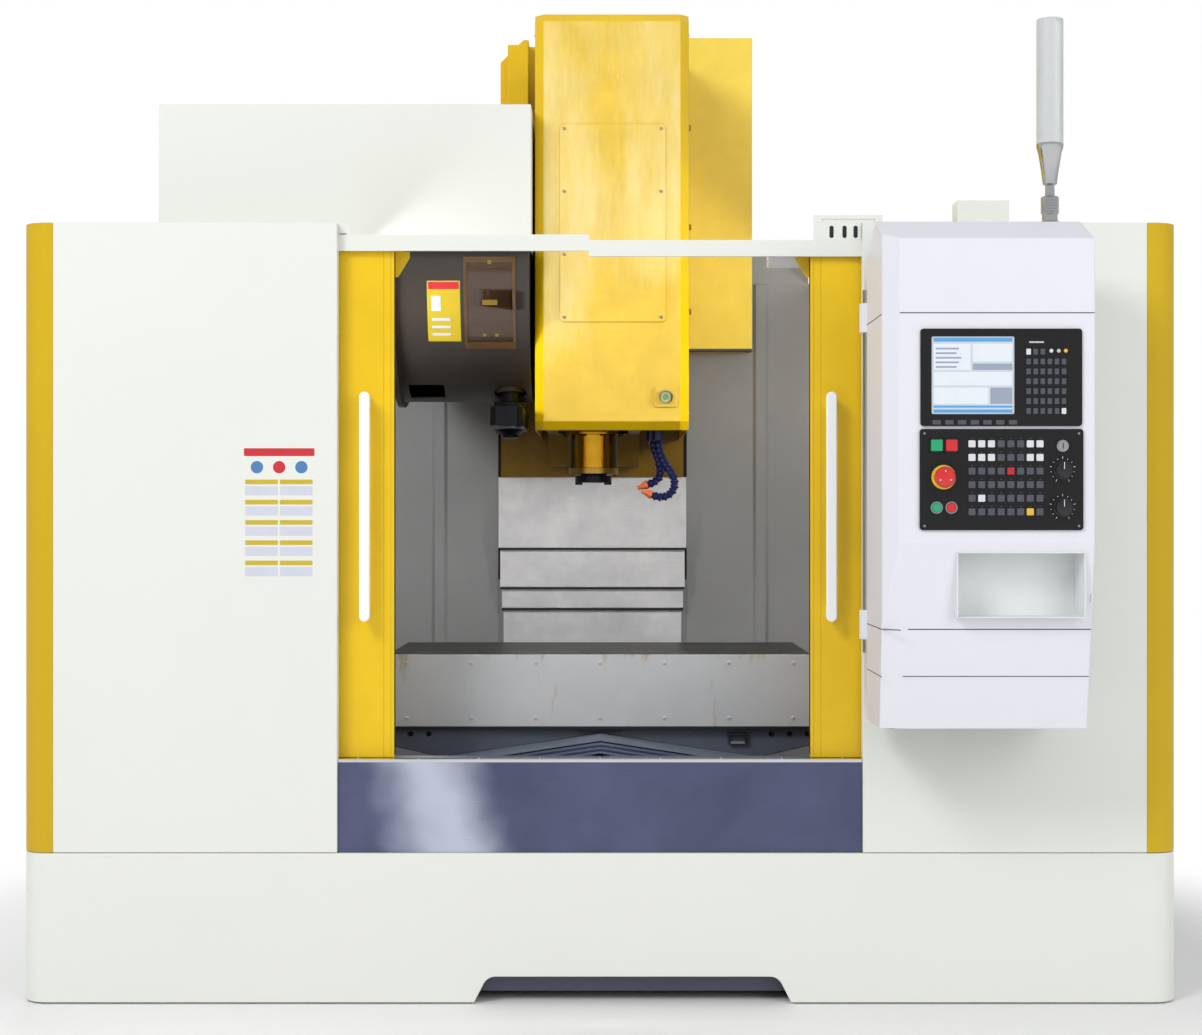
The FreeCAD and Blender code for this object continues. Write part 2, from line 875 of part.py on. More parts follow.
def make_screws():
    """Ball screws of the three axes, each in the bores of its bearings."""
    screws = [
        ("x", (TABLE_MID, "x_screw_height"), both("saddle_half")),
        ("y", ("0", "y_screw_height"), ("bed_front", "splash_back + bearing_wall / 2")),
        ("z", ("column_centre", "z_screw_depth"), ("z_screw_bottom", "z_screw_top")),
    ]
    for axis, centre, ends in screws:
        keep(rod(axis, centre, "screw_radius", *ends), axis + "_ball_screw")


def make_saddle():
    """Saddle on the Y ways, with the X ways on top, both screw seats and the last section of the Y cover."""
    way_top = "bed_top + way_height + slide_gap"
    lip = "way_offset + way_width / 2 + slide_gap"
    lip_bottom = "bed_top + way_height / 3"
    outer = "saddle_waist_half"
    wing = "saddle_top - saddle_wing"
    profile = [
        ("-saddle_half", wing), ("-saddle_half", "saddle_top"), ("saddle_half", "saddle_top"),
        ("saddle_half", wing), (outer, "saddle_waist"), (outer, lip_bottom), (lip, lip_bottom),
        (lip, way_top),
        (f"-({lip})", way_top), (f"-({lip})", lip_bottom), (f"-{outer}", lip_bottom),
        (f"-{outer}", "saddle_waist"),
    ]
    ends = both("saddle_half")
    rise = ("saddle_top", "x_way_top")
    saddle = prism("y", profile, "saddle_front", "saddle_back")
    for side in ("-", "+"):
        middle = f"{TABLE_MID} {side} x_way_offset"
        pad(saddle, "x", rectangle(around(middle, "x_way_width / 2"), rise), *ends)
    room = "(nut_half + nut_room)"
    trough = rectangle(around(TABLE_MID, room), (f"x_screw_height - {room}", "saddle_top"))
    inner_ends = both("(saddle_half - x_bearing_wall)")
    pocket(saddle, "x", trough, *inner_ends)
    for edges in ((ends[0], inner_ends[0]), (inner_ends[1], ends[1])):
        pad(saddle, "x", rectangle(around(TABLE_MID, "nut_half"), rise), *edges)
    drill(saddle, "x", TABLE_MID, "x_screw_height", SCREW_HOLE, *ends)
    nut = rectangle(both("nut_half"), ("y_screw_height - nut_half", way_top))
    pad(saddle, "y", nut, *around(TABLE_MID, "nut_half"))
    drill(saddle, "y", "0", "y_screw_height", SCREW_HOLE, *around(TABLE_MID, "nut_half"))
    y_cover(saddle, 0, "saddle_front - roof_length", "saddle_front", "roof_skirt")
    keep(saddle, "saddle_casting")


def make_y_covers():
    """The two sliding sections between the fixed hood and the saddle."""
    reach = "(saddle_front - roof_front - roof_length)"
    for name, level, share in (("y_cover_near", 1, "2 / 3"), ("y_cover_far", 2, "1 / 3")):
        end = f"roof_front + roof_length + {reach} * {share}"
        section = doc.addObject("PartDesign::Body", "Section")
        y_cover(section, level, f"{end} - roof_length", end, "roof_skirt")
        keep(section, name)


def make_table():
    """Work table with T-slots, guided by two legs on the X ways, with the nut of the X screw below."""
    front, back = "table_front + guard_sheet", "table_front + table_depth"
    ride = "x_way_top + slide_gap"
    drop = "x_way_top - table_leg_drop"

    def reach(side, extra):
        """Distance of a leg edge from the table's middle line."""
        return f"{TABLE_MID} {side} (x_way_offset {extra})"

    profile = [(front, "table_bottom")]
    leg = [
        ("+ x_way_width / 2 + table_lip", "table_bottom"), ("+ x_way_width / 2 + table_lip", drop),
        ("+ x_way_width / 2 + slide_gap", drop), ("+ x_way_width / 2 + slide_gap", ride),
        ("- x_way_width / 2 - table_lip", ride), ("- x_way_width / 2 - table_lip", "table_bottom"),
    ]
    profile += [(reach("-", extra), up) for extra, up in leg]
    profile += [(reach("+", extra), up) for extra, up in reversed(leg)]
    profile += [(back, "table_bottom"), (back, "table_top"), (front, "table_top")]
    table = prism("x", profile, *both("table_half"))
    first = f"{TABLE_MID} - (slot_count - 1) * slot_pitch / 2"
    neck, foot = around(first, "slot_width / 2"), around(first, "slot_foot_width / 2")
    shoulder, floor = "table_top - slot_neck", "table_top - slot_depth"
    slot = [
        (neck[0], "table_top"), (neck[0], shoulder), (foot[0], shoulder), (foot[0], floor),
        (foot[1], floor), (foot[1], shoulder), (neck[1], shoulder), (neck[1], "table_top"),
    ]
    repeat(table, pocket(table, "x", slot, *both("table_half")), "y", "slot_pitch", "slot_count")
    nut = rectangle(around(TABLE_MID, "nut_half"), ("x_screw_height - nut_half", "table_bottom"))
    pad(table, "x", nut, *both("nut_half"))
    drill(table, "x", TABLE_MID, "x_screw_height", SCREW_HOLE, *both("nut_half"))
    keep(table, "work_table")
    face = box(both("table_half"), ("table_front", front), ("guard_bottom", "table_top"))
    cheek = box(("table_half - guard_sheet", "table_half"), (front, "table_front + guard_cheek"),
                ("saddle_top + sheet", "table_bottom"))
    keep(fuse(face, cheek, mirror(cheek)), "table_guard")


def make_headstock():
    """Headstock: slide plate on the Z ways, forward arm with the spindle bore, nut of the Z screw."""
    slide = "z_way_front - slide_gap"
    plate = rectangle(("slide_plate_left", "slide_plate_right"), ("slide_plate_bottom", "slide_plate_top"))
    head = prism("y", plate, "slide_plate_front", slide)
    lips = [
        ("slide_plate_left", "column_centre - z_way_outer - slide_gap"),
        ("column_centre + z_way_outer + slide_gap", "slide_plate_right"),
    ]
    for edges in lips:
        lip = rectangle(edges, (slide, "column_front - nut_room"))
        pad(head, "z", lip, "slide_plate_bottom", "slide_plate_top")
    seam = "slide_plate_front"
    haunch_bottom = "slide_plate_bottom + arm_haunch / 3"
    arm = [
        ("arm_casting_front", "arm_casting_bottom"), (f"{seam} - 2 * arm_haunch", "arm_casting_bottom"),
        (f"{seam} - arm_haunch", haunch_bottom), (seam, haunch_bottom), (seam, "arm_casting_top"),
        ("arm_casting_front + arm_haunch / 2", "arm_casting_top"),
        ("arm_casting_front", "arm_casting_top - arm_haunch"),
    ]
    pad(head, "x", arm, *around("spindle_across", "arm_casting_half"))
    drill(head, "z", "spindle_across", "spindle_ahead", "cartridge_radius + slide_gap", "arm_casting_bottom",
          "arm_casting_top")
    nut = rectangle(around("column_centre", "nut_half"), (slide, "z_screw_depth + nut_half"))
    nut_height = ("z_nut_bottom", "z_nut_bottom + 2 * nut_half")
    pad(head, "z", nut, *nut_height)
    drill(head, "z", "column_centre", "z_screw_depth", SCREW_HOLE, *nut_height)
    keep(head, "headstock_casting")


def make_head_cover():
    """Yellow cover over the headstock, with a service panel and a sight glass on its front."""
    def plan(inset, back):
        """Outline seen from above, with bevelled front corners."""
        left, right = f"head_left + {inset}", f"head_right - {inset}"
        front = f"head_front + {inset}"
        return [
            (left, back), (left, f"{front} + head_bevel"), (f"{left} + head_bevel", front),
            (f"{right} - head_bevel", front), (right, f"{front} + head_bevel"), (right, back),
        ]

    shell = prism("z", plan("0", "slide_plate_front"), "head_bottom", "head_top")
    pocket(shell, "z", plan("sheet", "slide_plate_front + sheet"), "head_bottom - sheet", "head_top - sheet")
    face = ("head_front - plate_proud", "head_front")
    panel = prism("y", rectangle(("service_left", "service_right"), ("service_bottom", "service_top")), *face)
    soften(panel, "Fillet", "plate_round", "y", lambda spot: True)
    sight = rectangle(around("sight_across", "sight_half_width"), around("sight_height", "sight_half_height"))
    bezel = prism("y", sight, *face)
    soften(bezel, "Fillet", "plate_round / 2", "y", lambda spot: True)
    lens = rod("y", ("sight_across", "sight_height"), "sight_radius", "head_front - 2 * plate_proud",
               "head_front - plate_proud")
    keep(group(shell, panel, bezel, lens), "head_cover")


def make_spindle():
    """Spindle motor, cartridge and the shaft with its taper, drawbar bore and drive keys."""
    centre = ("spindle_across", "spindle_ahead")
    half = "spindle_motor_half"
    flange_top = "arm_casting_top + sheet * 8"
    body = box(around(centre[0], half), around(centre[1], half), (flange_top, "spindle_motor_top"))
    flange = box(around(centre[0], "arm_casting_half"), around(centre[1], f"({half} - motor_flange)"),
                 ("arm_casting_top", flange_top))
    keep(fuse(flange, body), "spindle_motor")
    bore, outer = "spindle_radius", "cartridge_radius"
    flange_bottom = "arm_casting_bottom - cartridge_flange_height"
    sleeve = [
        (bore, "cartridge_bottom"), (f"{outer} - cartridge_chamfer", "cartridge_bottom"),
        (outer, "cartridge_bottom + cartridge_chamfer"), (outer, flange_bottom),
        ("cartridge_flange", flange_bottom), ("cartridge_flange", "arm_casting_bottom"),
        (outer, "arm_casting_bottom"), (outer, "cartridge_top"),
        (bore, "cartridge_top"),
    ]
    keep(lathe(sleeve, *centre, "0"), "spindle_cartridge")
    shank = "spindle_radius - spindle_fit"
    nose_top, taper_top = "nose_bottom + nose_height", "nose_bottom + taper_depth"
    profile = [
        ("taper_large", "nose_bottom"), ("nose_radius", "nose_bottom"), ("nose_radius", nose_top),
        (shank, nose_top), (shank, "cartridge_top"), ("drawbar_radius", "cartridge_top"),
        ("drawbar_radius", taper_top),
        ("taper_large - taper_depth * 7 / 48", taper_top),
    ]
    shaft = lathe(profile, *centre, "0")
    for ends in (("taper_large + sheet", "nose_radius"), ("-nose_radius", "-taper_large - sheet")):
        key = rectangle(ends, both("drive_key_width / 2"))
        pad(shaft, "z", key, "nose_bottom - drive_key_height", "nose_bottom")
    keep(shaft, "spindle_shaft")


def make_coolant_line():
    """Manifold on the headstock with two lines of ball-and-socket segments that end in nozzles."""
    across, ahead = size("line_across"), size("line_ahead")
    top = size("arm_casting_bottom")
    low = size("head_bottom") - size("line_connector")
    arm_side = size("spindle_across") + size("arm_casting_half")
    wide = size("line_radius")
    deep = size("line_block")
    corner = FreeCAD.Vector(arm_side, ahead - deep, top)
    block = Part.makeBox(across + deep - arm_side, 2.4 * deep, deep, corner)
    routes = [
        [(0, 0), (2, -45), (24, -90), (57, -132), (61, -172), (37, -200), (4, -208), (-31, -192)],
        [(-20, 0), (-12, -40), (4, -80), (14, -120), (0, -150), (-35, -160)],
    ]
    pieces = [block]
    for row, route in enumerate(routes):
        depth = ahead + row * 1.2 * deep
        curve = Part.BSplineCurve()
        curve.interpolate([FreeCAD.Vector(across + x, depth, low + z) for x, z in route])
        count = int(curve.length() / size("line_segment"))
        spots = [curve.value(curve.parameterAtDistance(i * curve.length() / count)) for i in range(count + 1)]
        start = spots[0]
        height = top - start.z
        pieces.append(Part.makeCylinder(wide * 1.3, height, start))
        for here, there in zip(spots, spots[1:]):
            step = there - here
            pieces.append(Part.makeCone(wide, wide * 0.72, step.Length * 1.15, here, step))
        last = spots[-1] - spots[-2]
        pieces.append(Part.makeCone(wide, wide * 0.4, size("nozzle_length"), spots[-1], last))
    line = doc.addObject("Part::Feature", "Line")
    line.Shape = pieces[0].multiFuse(pieces[1:])
    keep(line, "coolant_line")


def cover_edges(level):
    """Left and right edge of a Z cover plate; each level fits inside the one before."""
    return f"cover_left + {level} * cover_inset", f"cover_right - {level} * cover_inset"


def z_cover(level, bottom, top, back):
    """One plate of the Z way cover, with its side flanges and the wiper lip at its bottom."""
    left, right = cover_edges(level)
    front = f"cover_front + {level} * cover_pitch"
    inside = f"{front} + sheet"
    plan = [
        (left, front), (right, front), (right, back), (f"{right} - sheet", back),
        (f"{right} - sheet", inside), (f"{left} + sheet", inside), (f"{left} + sheet", back), (left, back),
    ]
    plate = prism("z", plan, bottom, top)
    lip = rectangle((f"{left} + sheet", f"{right} - sheet"), (inside, f"{front} + cover_pitch - clearance"))
    pad(plate, "z", lip, bottom, f"{bottom} + sheet")
    return plate


def make_z_covers():
    """Top plate on the head and two sliding plates; the fixed foot plate belongs to the splash walls."""
    top_plate = z_cover(0, "cover_top_bottom", "slide_plate_bottom", "cover_flange_back")
    flange = rectangle(cover_edges(0), ("cover_front + sheet", "cover_flange_back"))
    pad(top_plate, "z", flange, "slide_plate_bottom - sheet", "slide_plate_bottom")
    keep(top_plate, "z_cover_top")
    for name, level in (("upper", 1), ("lower", 2)):
        bottom = f"cover_{name}_bottom"
        top = f"{bottom} + cover_{name}_height"
        keep(z_cover(level, bottom, top, "cover_flange_back"), "z_cover_" + name)


def splash_wall(sign, edge, slot):
    """Rear wall beside the column with its folds, and the side wall joined to it."""
    outer = f"{sign}splash_half"
    bed_edge = f"{sign}(bed_half + splash_gap)"
    floor, step, top = "pan_floor + pan_sheet", "bed_top + splash_gap", "cabinet_top - roof_sheet"
    shape = [(outer, floor), (bed_edge, floor), (bed_edge, step), (edge, step)] + slot + [(outer, top)]
    wall = prism("y", shape, "splash_back", "splash_back + sheet")
    side = (outer, f"{sign}(splash_half - sheet)")
    pad(wall, "z", rectangle(side, ("splash_front", "splash_back")), "plinth_top + 1", top)
    first = f"{sign}(splash_half - fold_pitch)"
    crest = f"{first} {sign or '+'} fold_width"
    slant = f"{sign or '+'} fold_depth"
    fold = [
        (first, "splash_back"), (f"{first} {slant}", "splash_back - fold_depth"),
        (f"{crest} - ({sign}fold_depth)", "splash_back - fold_depth"), (crest, "splash_back"),
    ]
    bead = pad(wall, "z", fold, "plinth_top + 1", top)
    for number in range(1, size("fold_count")):
        shift = f" - ({sign}{number} * fold_pitch)"
        pad(wall, "z", [(x + shift, y) for x, y in fold], "plinth_top + 1", top)
    return wall


def make_splash_walls():
    """Grey walls of the machining chamber and the foot plate of the Z cover."""
    top = "cabinet_top - roof_sheet"
    slot_edge = "frame_left - splash_gap"
    slot_bottom = "frame_bottom - splash_gap"
    left_slot = [("splash_left_edge", slot_bottom), (slot_edge, slot_bottom), (slot_edge, top)]
    left = splash_wall("-", "splash_left_edge", left_slot)
    right = splash_wall("", "splash_right_edge", [("splash_right_edge", top)])
    behind = "splash_back + sheet"
    low, high = "bed_top + way_height + splash_gap", "cover_foot_top"
    foot = z_cover(3, low, high, f"{behind} + sheet")
    left_edge, right_edge = cover_edges(3)
    ears = [
        ("splash_left_edge - foot_ear", f"{left_edge} + sheet"),
        (f"{right_edge} - sheet", "splash_right_edge + foot_ear"),
    ]
    for ear in ears:
        pad(foot, "z", rectangle(ear, (behind, f"{behind} + sheet")), low, high)
    keep(group(left, right, foot), "splash_walls")


def make_front():
    """White front panels, yellow corner pillars, side panels and the slate apron with the door sill."""
    depth = ("cabinet_front", "cabinet_front + panel_depth")
    height = ("plinth_top + panel_gap", "cabinet_top")
    panel = tray(("opening_half", f"{HALF} - pillar_width"), depth, height, "sheet", "+y")
    keep(group(panel, mirror(panel)), "front_panels")
    outer, inner = HALF, f"{HALF} - pillar_width"
    front, back = "cabinet_front", "cabinet_front + pillar_width"
    plan = [
        (inner, front), (outer, front), (outer, back), (f"{outer} - sheet", back),
        (f"{outer} - sheet", f"{front} + sheet"), (inner, f"{front} + sheet"),
    ]
    pillar = prism("z", plan, *height)
    corner = FreeCAD.Vector(size("cabinet_width") / 2, size("cabinet_front"), 0)
    skin = size("sheet")
    soften(pillar, "Fillet", "pillar_round", "z",
           lambda spot: near(spot.x, corner.x) and near(spot.y, corner.y))
    soften(pillar, "Fillet", "pillar_round - sheet", "z",
           lambda spot: near(spot.x, corner.x - skin) and near(spot.y, corner.y + skin))
    keep(group(pillar, mirror(pillar)), "corner_pillars")
    side = tray((f"{HALF} - side_panel_depth", HALF), (back, "cabinet_back"), ("plinth_top", "cabinet_top"),
                "sheet", "-x")
    keep(group(side, mirror(side)), "side_panels")
    apron_section = [
        ("apron_front", "plinth_top"), ("apron_front", "sill_top"), ("apron_back", "sill_top"),
        ("apron_back", "plinth_top"), ("apron_back - sheet", "plinth_top"),
        ("apron_back - sheet", "sill_top - sheet"), ("apron_front + sheet", "sill_top - sheet"),
        ("apron_front + sheet", "plinth_top"),
    ]
    keep(prism("x", apron_section, *both("opening_half")), "apron_panel")


def make_header():
    """Header over the doors: upper rail, face strip in two heights and a slotted bracket on top."""
    top = "rail_bottom + rail_height"
    back = "cabinet_front + panel_depth"
    rail = box(both("rail_half"), (back, "rail_back"), ("rail_bottom", top))
    face = ("header_front", back)
    right_strip = box(("header_step", "opening_half"), face, ("header_low", "header_low + header_strip"))
    left_low = "header_low + header_drop"
    left_strip = box(("-opening_half", "header_step"), face, (left_low, f"{left_low} + header_strip"))
    bottom, step, inner = "header_low + header_strip", "cabinet_top + panel_gap", "opening_half - panel_gap"
    bracket = [
        ("slotted_left", bottom), (inner, bottom), (inner, step), ("slotted_right", step),
        ("slotted_right", "slotted_top"), ("slotted_left", "slotted_top"),
    ]
    thickness = ("header_front", "header_front + 2 * sheet")
    plate = prism("y", bracket, *thickness)
    slot = rectangle(("slotted_left + slot_end", "slotted_right - slot_end"),
                     ("slotted_top - slot_end", "slotted_top - slot_end / 2"))
    pocket(plate, "y", slot, *thickness)
    keep(fuse(rail, right_strip, left_strip, plate), "header_beam")


def make_roof():
    """Roof sheets left and right of the open middle, with the junction box on the right one."""
    low, high = "cabinet_top - roof_sheet", "cabinet_top"
    outer = f"({HALF} - side_panel_depth)"
    front, back = "cabinet_front + panel_depth", "cabinet_back"
    notch = "hood_left + 2 * sheet"
    left = [
        (f"-{outer}", front), ("-opening_half", front), ("-opening_half", "hood_front + 2 * sheet"),
        (notch, "hood_front + 2 * sheet"), (notch, "hood_back - 2 * sheet"),
        ("-opening_half", "hood_back - 2 * sheet"), ("-opening_half", back), (f"-{outer}", back),
    ]
    right = prism("z", rectangle(("opening_half", outer), (front, back)), low, high)
    junction = rectangle(("junction_left", "junction_right"), ("lamp_ahead", "lamp_ahead + junction_depth"))
    pad(right, "z", junction, high, "junction_top")
    keep(group(prism("z", left, low, high), right), "roof_panels")


def make_door(name, near_edge, sign):
    """Sliding door with its pane and handle; sign is the direction from the near edge outwards."""
    def out(distance):
        """Place at a distance from the near edge."""
        return f"{near_edge} {sign} ({distance})"

    def span(start, end):
        """Range in X between two distances, low side first."""
        points = (out(start), out(end))
        return points if sign == "+" else points[::-1]

    back = "door_front + door_thickness"
    height = ("sill_top + clearance", "rail_bottom - clearance")
    leaf = prism("z", rectangle(span("0", "door_width"), ("door_front", back)), *height)
    hollow = rectangle(span("sheet", "door_width - sheet"),
                       (f"{height[0]} + door_rim", f"{height[1]} - door_rim"))
    pocket(leaf, "y", hollow, "door_front + sheet", back)
    window = rectangle(span("window_near", "window_far"), ("window_bottom", "window_top"))
    drawing = sketch(leaf, "y", "door_front")
    outline(drawing, window)
    feature(leaf, "Pocket", drawing, "sheet")
    low, high = size("window_bottom"), size("window_top")
    soften(leaf, "Fillet", "window_round", "y", lambda spot: near(spot.z, low) or near(spot.z, high))
    keep(leaf, name + "_door")
    pane_edges = span("window_near - pane_lap", "window_far + pane_lap")
    pane = rectangle(pane_edges, ("window_bottom - pane_lap", "window_top + pane_lap"))
    keep(prism("y", pane, "door_front + sheet", "door_front + sheet + pane_thickness"), name + "_door_window")
    middle = out("handle_offset" if name == "left" else "right_handle_offset")
    reach = "door_front - handle_reach"
    grip = f"{reach} + handle_bar"
    section = [
        (reach, "handle_bottom"), ("door_front", "handle_bottom"),
        ("door_front", "handle_bottom + handle_foot"), (grip, "handle_bottom + handle_foot"),
        (grip, "handle_top - handle_foot"),
        ("door_front", "handle_top - handle_foot"), ("door_front", "handle_top"), (reach, "handle_top"),
    ]
    handle = prism("x", section, *around(middle, "handle_width / 2"))
    outside = size("door_front") - size("handle_reach")
    soften(handle, "Fillet", "handle_round", "x", lambda spot: near(spot.y, outside))
    keep(handle, name + "_door_handle")


def make_magazine():
    """Tool magazine: frame with the arm gearbox, disc with its pots, round housing, hood and twin arm."""
    axis = ("drum_axis_ahead", "drum_axis_height")
    height = ("frame_bottom", "frame_top")
    plate = box(("frame_left", "frame_right"), ("gearbox_front", "frame_back"), height)
    flank, foot = "column_centre - column_half", "column_front"
    spacer = box(("frame_right", flank), (foot, "frame_back"), height)
    gearbox = box(("frame_right", "drum_right - 2 * sheet"), ("gearbox_front", "gearbox_back"),
                  ("gearbox_bottom", "gearbox_top"))
    sleeve = rod("z", ("arm_across", "spindle_ahead"), "sleeve_outer", "sleeve_bottom", "gearbox_bottom")
    axle = rod("x", axis, "axle_radius", "axle_end", "frame_left")
    bore = rod("z", ("arm_across", "spindle_ahead"), "arm_shaft_radius + running_fit", "sleeve_bottom",
               "arm_shaft_top + sheet")
    keep(cut(fuse(plate, spacer, gearbox, sleeve, axle), bore), "magazine_frame")

    hub_end = "frame_left - clearance"
    rim = "pot_circle + pot_radius + disc_rim"
    disc_profile = [
        ("axle_radius + running_fit", "pot_left"), ("hub_radius", "pot_left"), ("hub_radius", "web_left"),
        (rim, "web_left"), (rim, "web_right"), ("hub_radius", "web_right"), ("hub_radius", hub_end),
        ("axle_radius + running_fit", hub_end),
    ]
    disc = lathe(disc_profile, "0", *axis, axis="x")

    pots = []
    for number in range(int(size("pot_count"))):
        turn = 2 * math.pi * number / size("pot_count")
        centre = (f"drum_axis_ahead + {math.cos(turn):.9f} * pot_circle",
                  f"drum_axis_height + {math.sin(turn):.9f} * pot_circle")
        pots.append(cut(rod("x", centre, "pot_radius", "pot_left", "web_left"),
                        rod("x", centre, "pot_bore", "pot_left", "web_left")))
    keep(group(disc, *pots), "magazine_disc")

    wall = "2 * sheet"
    end_hole = "axle_radius + sheet"
    lip = "drum_radius + drum_lip"
    shell_profile = [
        (end_hole, "drum_left"), (lip, "drum_left"), (lip, "drum_left + drum_lip"),
        ("drum_radius", "drum_left + drum_lip"), ("drum_radius", "drum_right"), (end_hole, "drum_right"),
        (end_hole, f"drum_right - {wall}"), (f"drum_radius - {wall}", f"drum_right - {wall}"),
        (f"drum_radius - {wall}", f"drum_left + {wall}"), (end_hole, f"drum_left + {wall}"),
    ]
    shell = lathe(shell_profile, "0", *axis, axis="x")
    window = box(("tint_left", "tint_right"),
                 ("drum_axis_ahead - drum_radius", "drum_axis_ahead - drum_radius / 2"),
                 ("tint_bottom", "tint_top"))
    low = ("drum_axis_height - drum_radius - drum_lip", "drum_axis_height - drum_radius * 0.8")
    pot_across = "(arm_across - arm_reach)"
    pot_door = box(around(pot_across, "pot_door_half"), around("spindle_ahead", "pot_door_half"), low)
    shaft_hole = rod("z", ("arm_across", "spindle_ahead"), "sleeve_outer + 2 * sheet", *low)
    frame_slot = box(("frame_left - 2 * sheet", "frame_right + 2 * sheet"),
                     ("drum_axis_ahead + drum_radius * 0.8", "drum_axis_ahead + drum_radius + sheet"),
                     ("frame_bottom - 2 * sheet", "frame_top + 2 * sheet"))
    opened = cut(shell, window, pot_door, shaft_hole, frame_slot)
    pane = doc.addObject("Part::Common", "Pane")
    pane.Base = lathe(shell_profile, "0", *axis, axis="x")
    pane.Tool = window
    keep(group(opened, pane), "magazine_housing")

    hood = tray(("hood_left", "hood_right"), ("hood_front", "hood_back"), ("cabinet_top", "hood_top"),
                "sheet", "-z")
    passage = box(("frame_left - 2 * sheet", "frame_right + 2 * sheet"),
                  ("hood_back - 2 * sheet", "hood_back + sheet"),
                  ("cabinet_top - sheet", "frame_top + 2 * sheet"))
    keep(cut(hood, passage), "magazine_hood")

    blade_low = "arm_bottom + arm_shaft_radius"
    blade_high = f"{blade_low} + arm_grip"
    shaft_profile = [
        ("0", "arm_bottom"), ("arm_shaft_radius / 2", "arm_bottom"), ("arm_hub_radius", blade_low),
        ("arm_hub_radius", "arm_top"), ("arm_shaft_radius", "arm_top"),
        ("arm_shaft_radius", "arm_shaft_top - arm_stroke"), ("0", "arm_shaft_top - arm_stroke"),
    ]
    shaft = lathe(shaft_profile, "arm_across", "spindle_ahead", "0")
    tip = "arm_reach + jaw_radius + arm_jaw_wall"
    half = "arm_width / 2"
    blade_plan = [
        (half, f"{tip} - arm_jaw_wall"), (f"{half} - arm_jaw_wall", tip), (f"arm_jaw_wall - {half}", tip),
        (f"-{half}", f"{tip} - arm_jaw_wall"), (f"-{half}", f"arm_jaw_wall - ({tip})"),
        (f"arm_jaw_wall - {half}", f"-({tip})"), (f"{half} - arm_jaw_wall", f"-({tip})"),
        (half, f"arm_jaw_wall - ({tip})"),
    ]
    blade = prism("z", blade_plan, blade_low, blade_high)
    bind(blade, "Placement.Base.x", "arm_across")
    bind(blade, "Placement.Base.y", "spindle_ahead")
    for side, mouth in (("", "-"), ("-", "")):
        drill(blade, "z", "0", f"{side}arm_reach", "jaw_radius", blade_low, blade_high)
        gap = rectangle((f"{mouth}arm_width", "0"), around(f"{side}arm_reach", "jaw_radius * 0.8"))
        pocket(blade, "z", gap, blade_low, blade_high)
    keep(fuse(shaft, blade), "tool_change_arm")


def make_chain_cover():
    """Yellow cover of the cable chain, bolted to the right flank of the column."""
    shell = tray(("chain_left", "chain_right"), ("chain_front", "chain_front + chain_depth"),
                 ("chain_bottom", "chain_top"), "sheet", "+y")
    bracket = box(("column_centre + column_half", "chain_left + chain_bracket"),
                  ("chain_front + chain_depth - chain_bracket", "column_front + chain_depth"),
                  ("chain_bracket_bottom", "chain_bracket_bottom + chain_depth * 2"))
    keep(fuse(shell, bracket), "chain_cover")


def make_electrics():
    """Electrical cabinet behind the right side, with drive modules inside and a hinged rear door."""
    span, height = ("box_left", "box_right"), ("box_bottom", "box_top")
    shell = tray(span, ("cabinet_back", "box_back"), height, "sheet", "+y")
    leg = box(("box_left", "box_left + box_leg"), ("cabinet_back", "box_back"), ("0", "box_bottom"))
    other_leg = box(("box_right - box_leg", "box_right"), ("cabinet_back", "box_back"), ("0", "box_bottom"))
    modules = []
    for row in range(3):
        for column in range(3):
            left = f"box_left + box_leg + {column} * (module_width + box_leg / 2)"
            low = f"box_bottom + box_leg + {row} * (module_height + 2 * box_leg)"
            modules.append(box((left, f"{left} + module_width"),
                               ("cabinet_back + sheet", "cabinet_back + module_depth"),
                               (low, f"{low} + module_height")))
    hinge = ("box_right + hinge_radius", "box_back + hinge_radius")
    hinges = []
    for low in ("hinge_low", "hinge_high"):
        end = f"{low} + hinge_height"
        hinges.append(fuse(rod("z", hinge, "hinge_radius / 2", low, f"{end} + hinge_height"),
                           rod("z", hinge, "hinge_radius", low, end),
                           box(("box_right", hinge[0]), ("box_back - box_leg", "box_back"), (low, end))))
    keep(group(shell, leg, other_leg, *modules, *hinges), "electrical_cabinet")

    face = "box_back + box_door"
    leaf = tray(span, ("box_back + clearance", face), height, "sheet", "-y")
    cooler = box(("cooler_left", "cooler_right"), (face, f"{face} + cooler_depth"),
                 ("cooler_bottom", "cooler_top"))
    latch = box(("box_left + box_leg / 2", "box_left + box_leg"), (face, f"{face} + box_door"),
                ("latch_bottom", "latch_bottom + 2 * hinge_height"))
    turning, wells = [], []
    for low in ("hinge_low", "hinge_high"):
        start, end = f"{low} + hinge_height + clearance", f"{low} + 2 * hinge_height"
        turning.append(rod("z", hinge, "hinge_radius", start, end))
        turning.append(box(("box_right - sheet", hinge[0]), ("box_back + sheet", "box_back + hinge_radius"),
                           (start, end)))
        wells.append(rod("z", hinge, "hinge_radius / 2 + running_fit", start, end))
    keep(cut(fuse(leaf, cooler, latch, *turning), *wells), "cabinet_door")


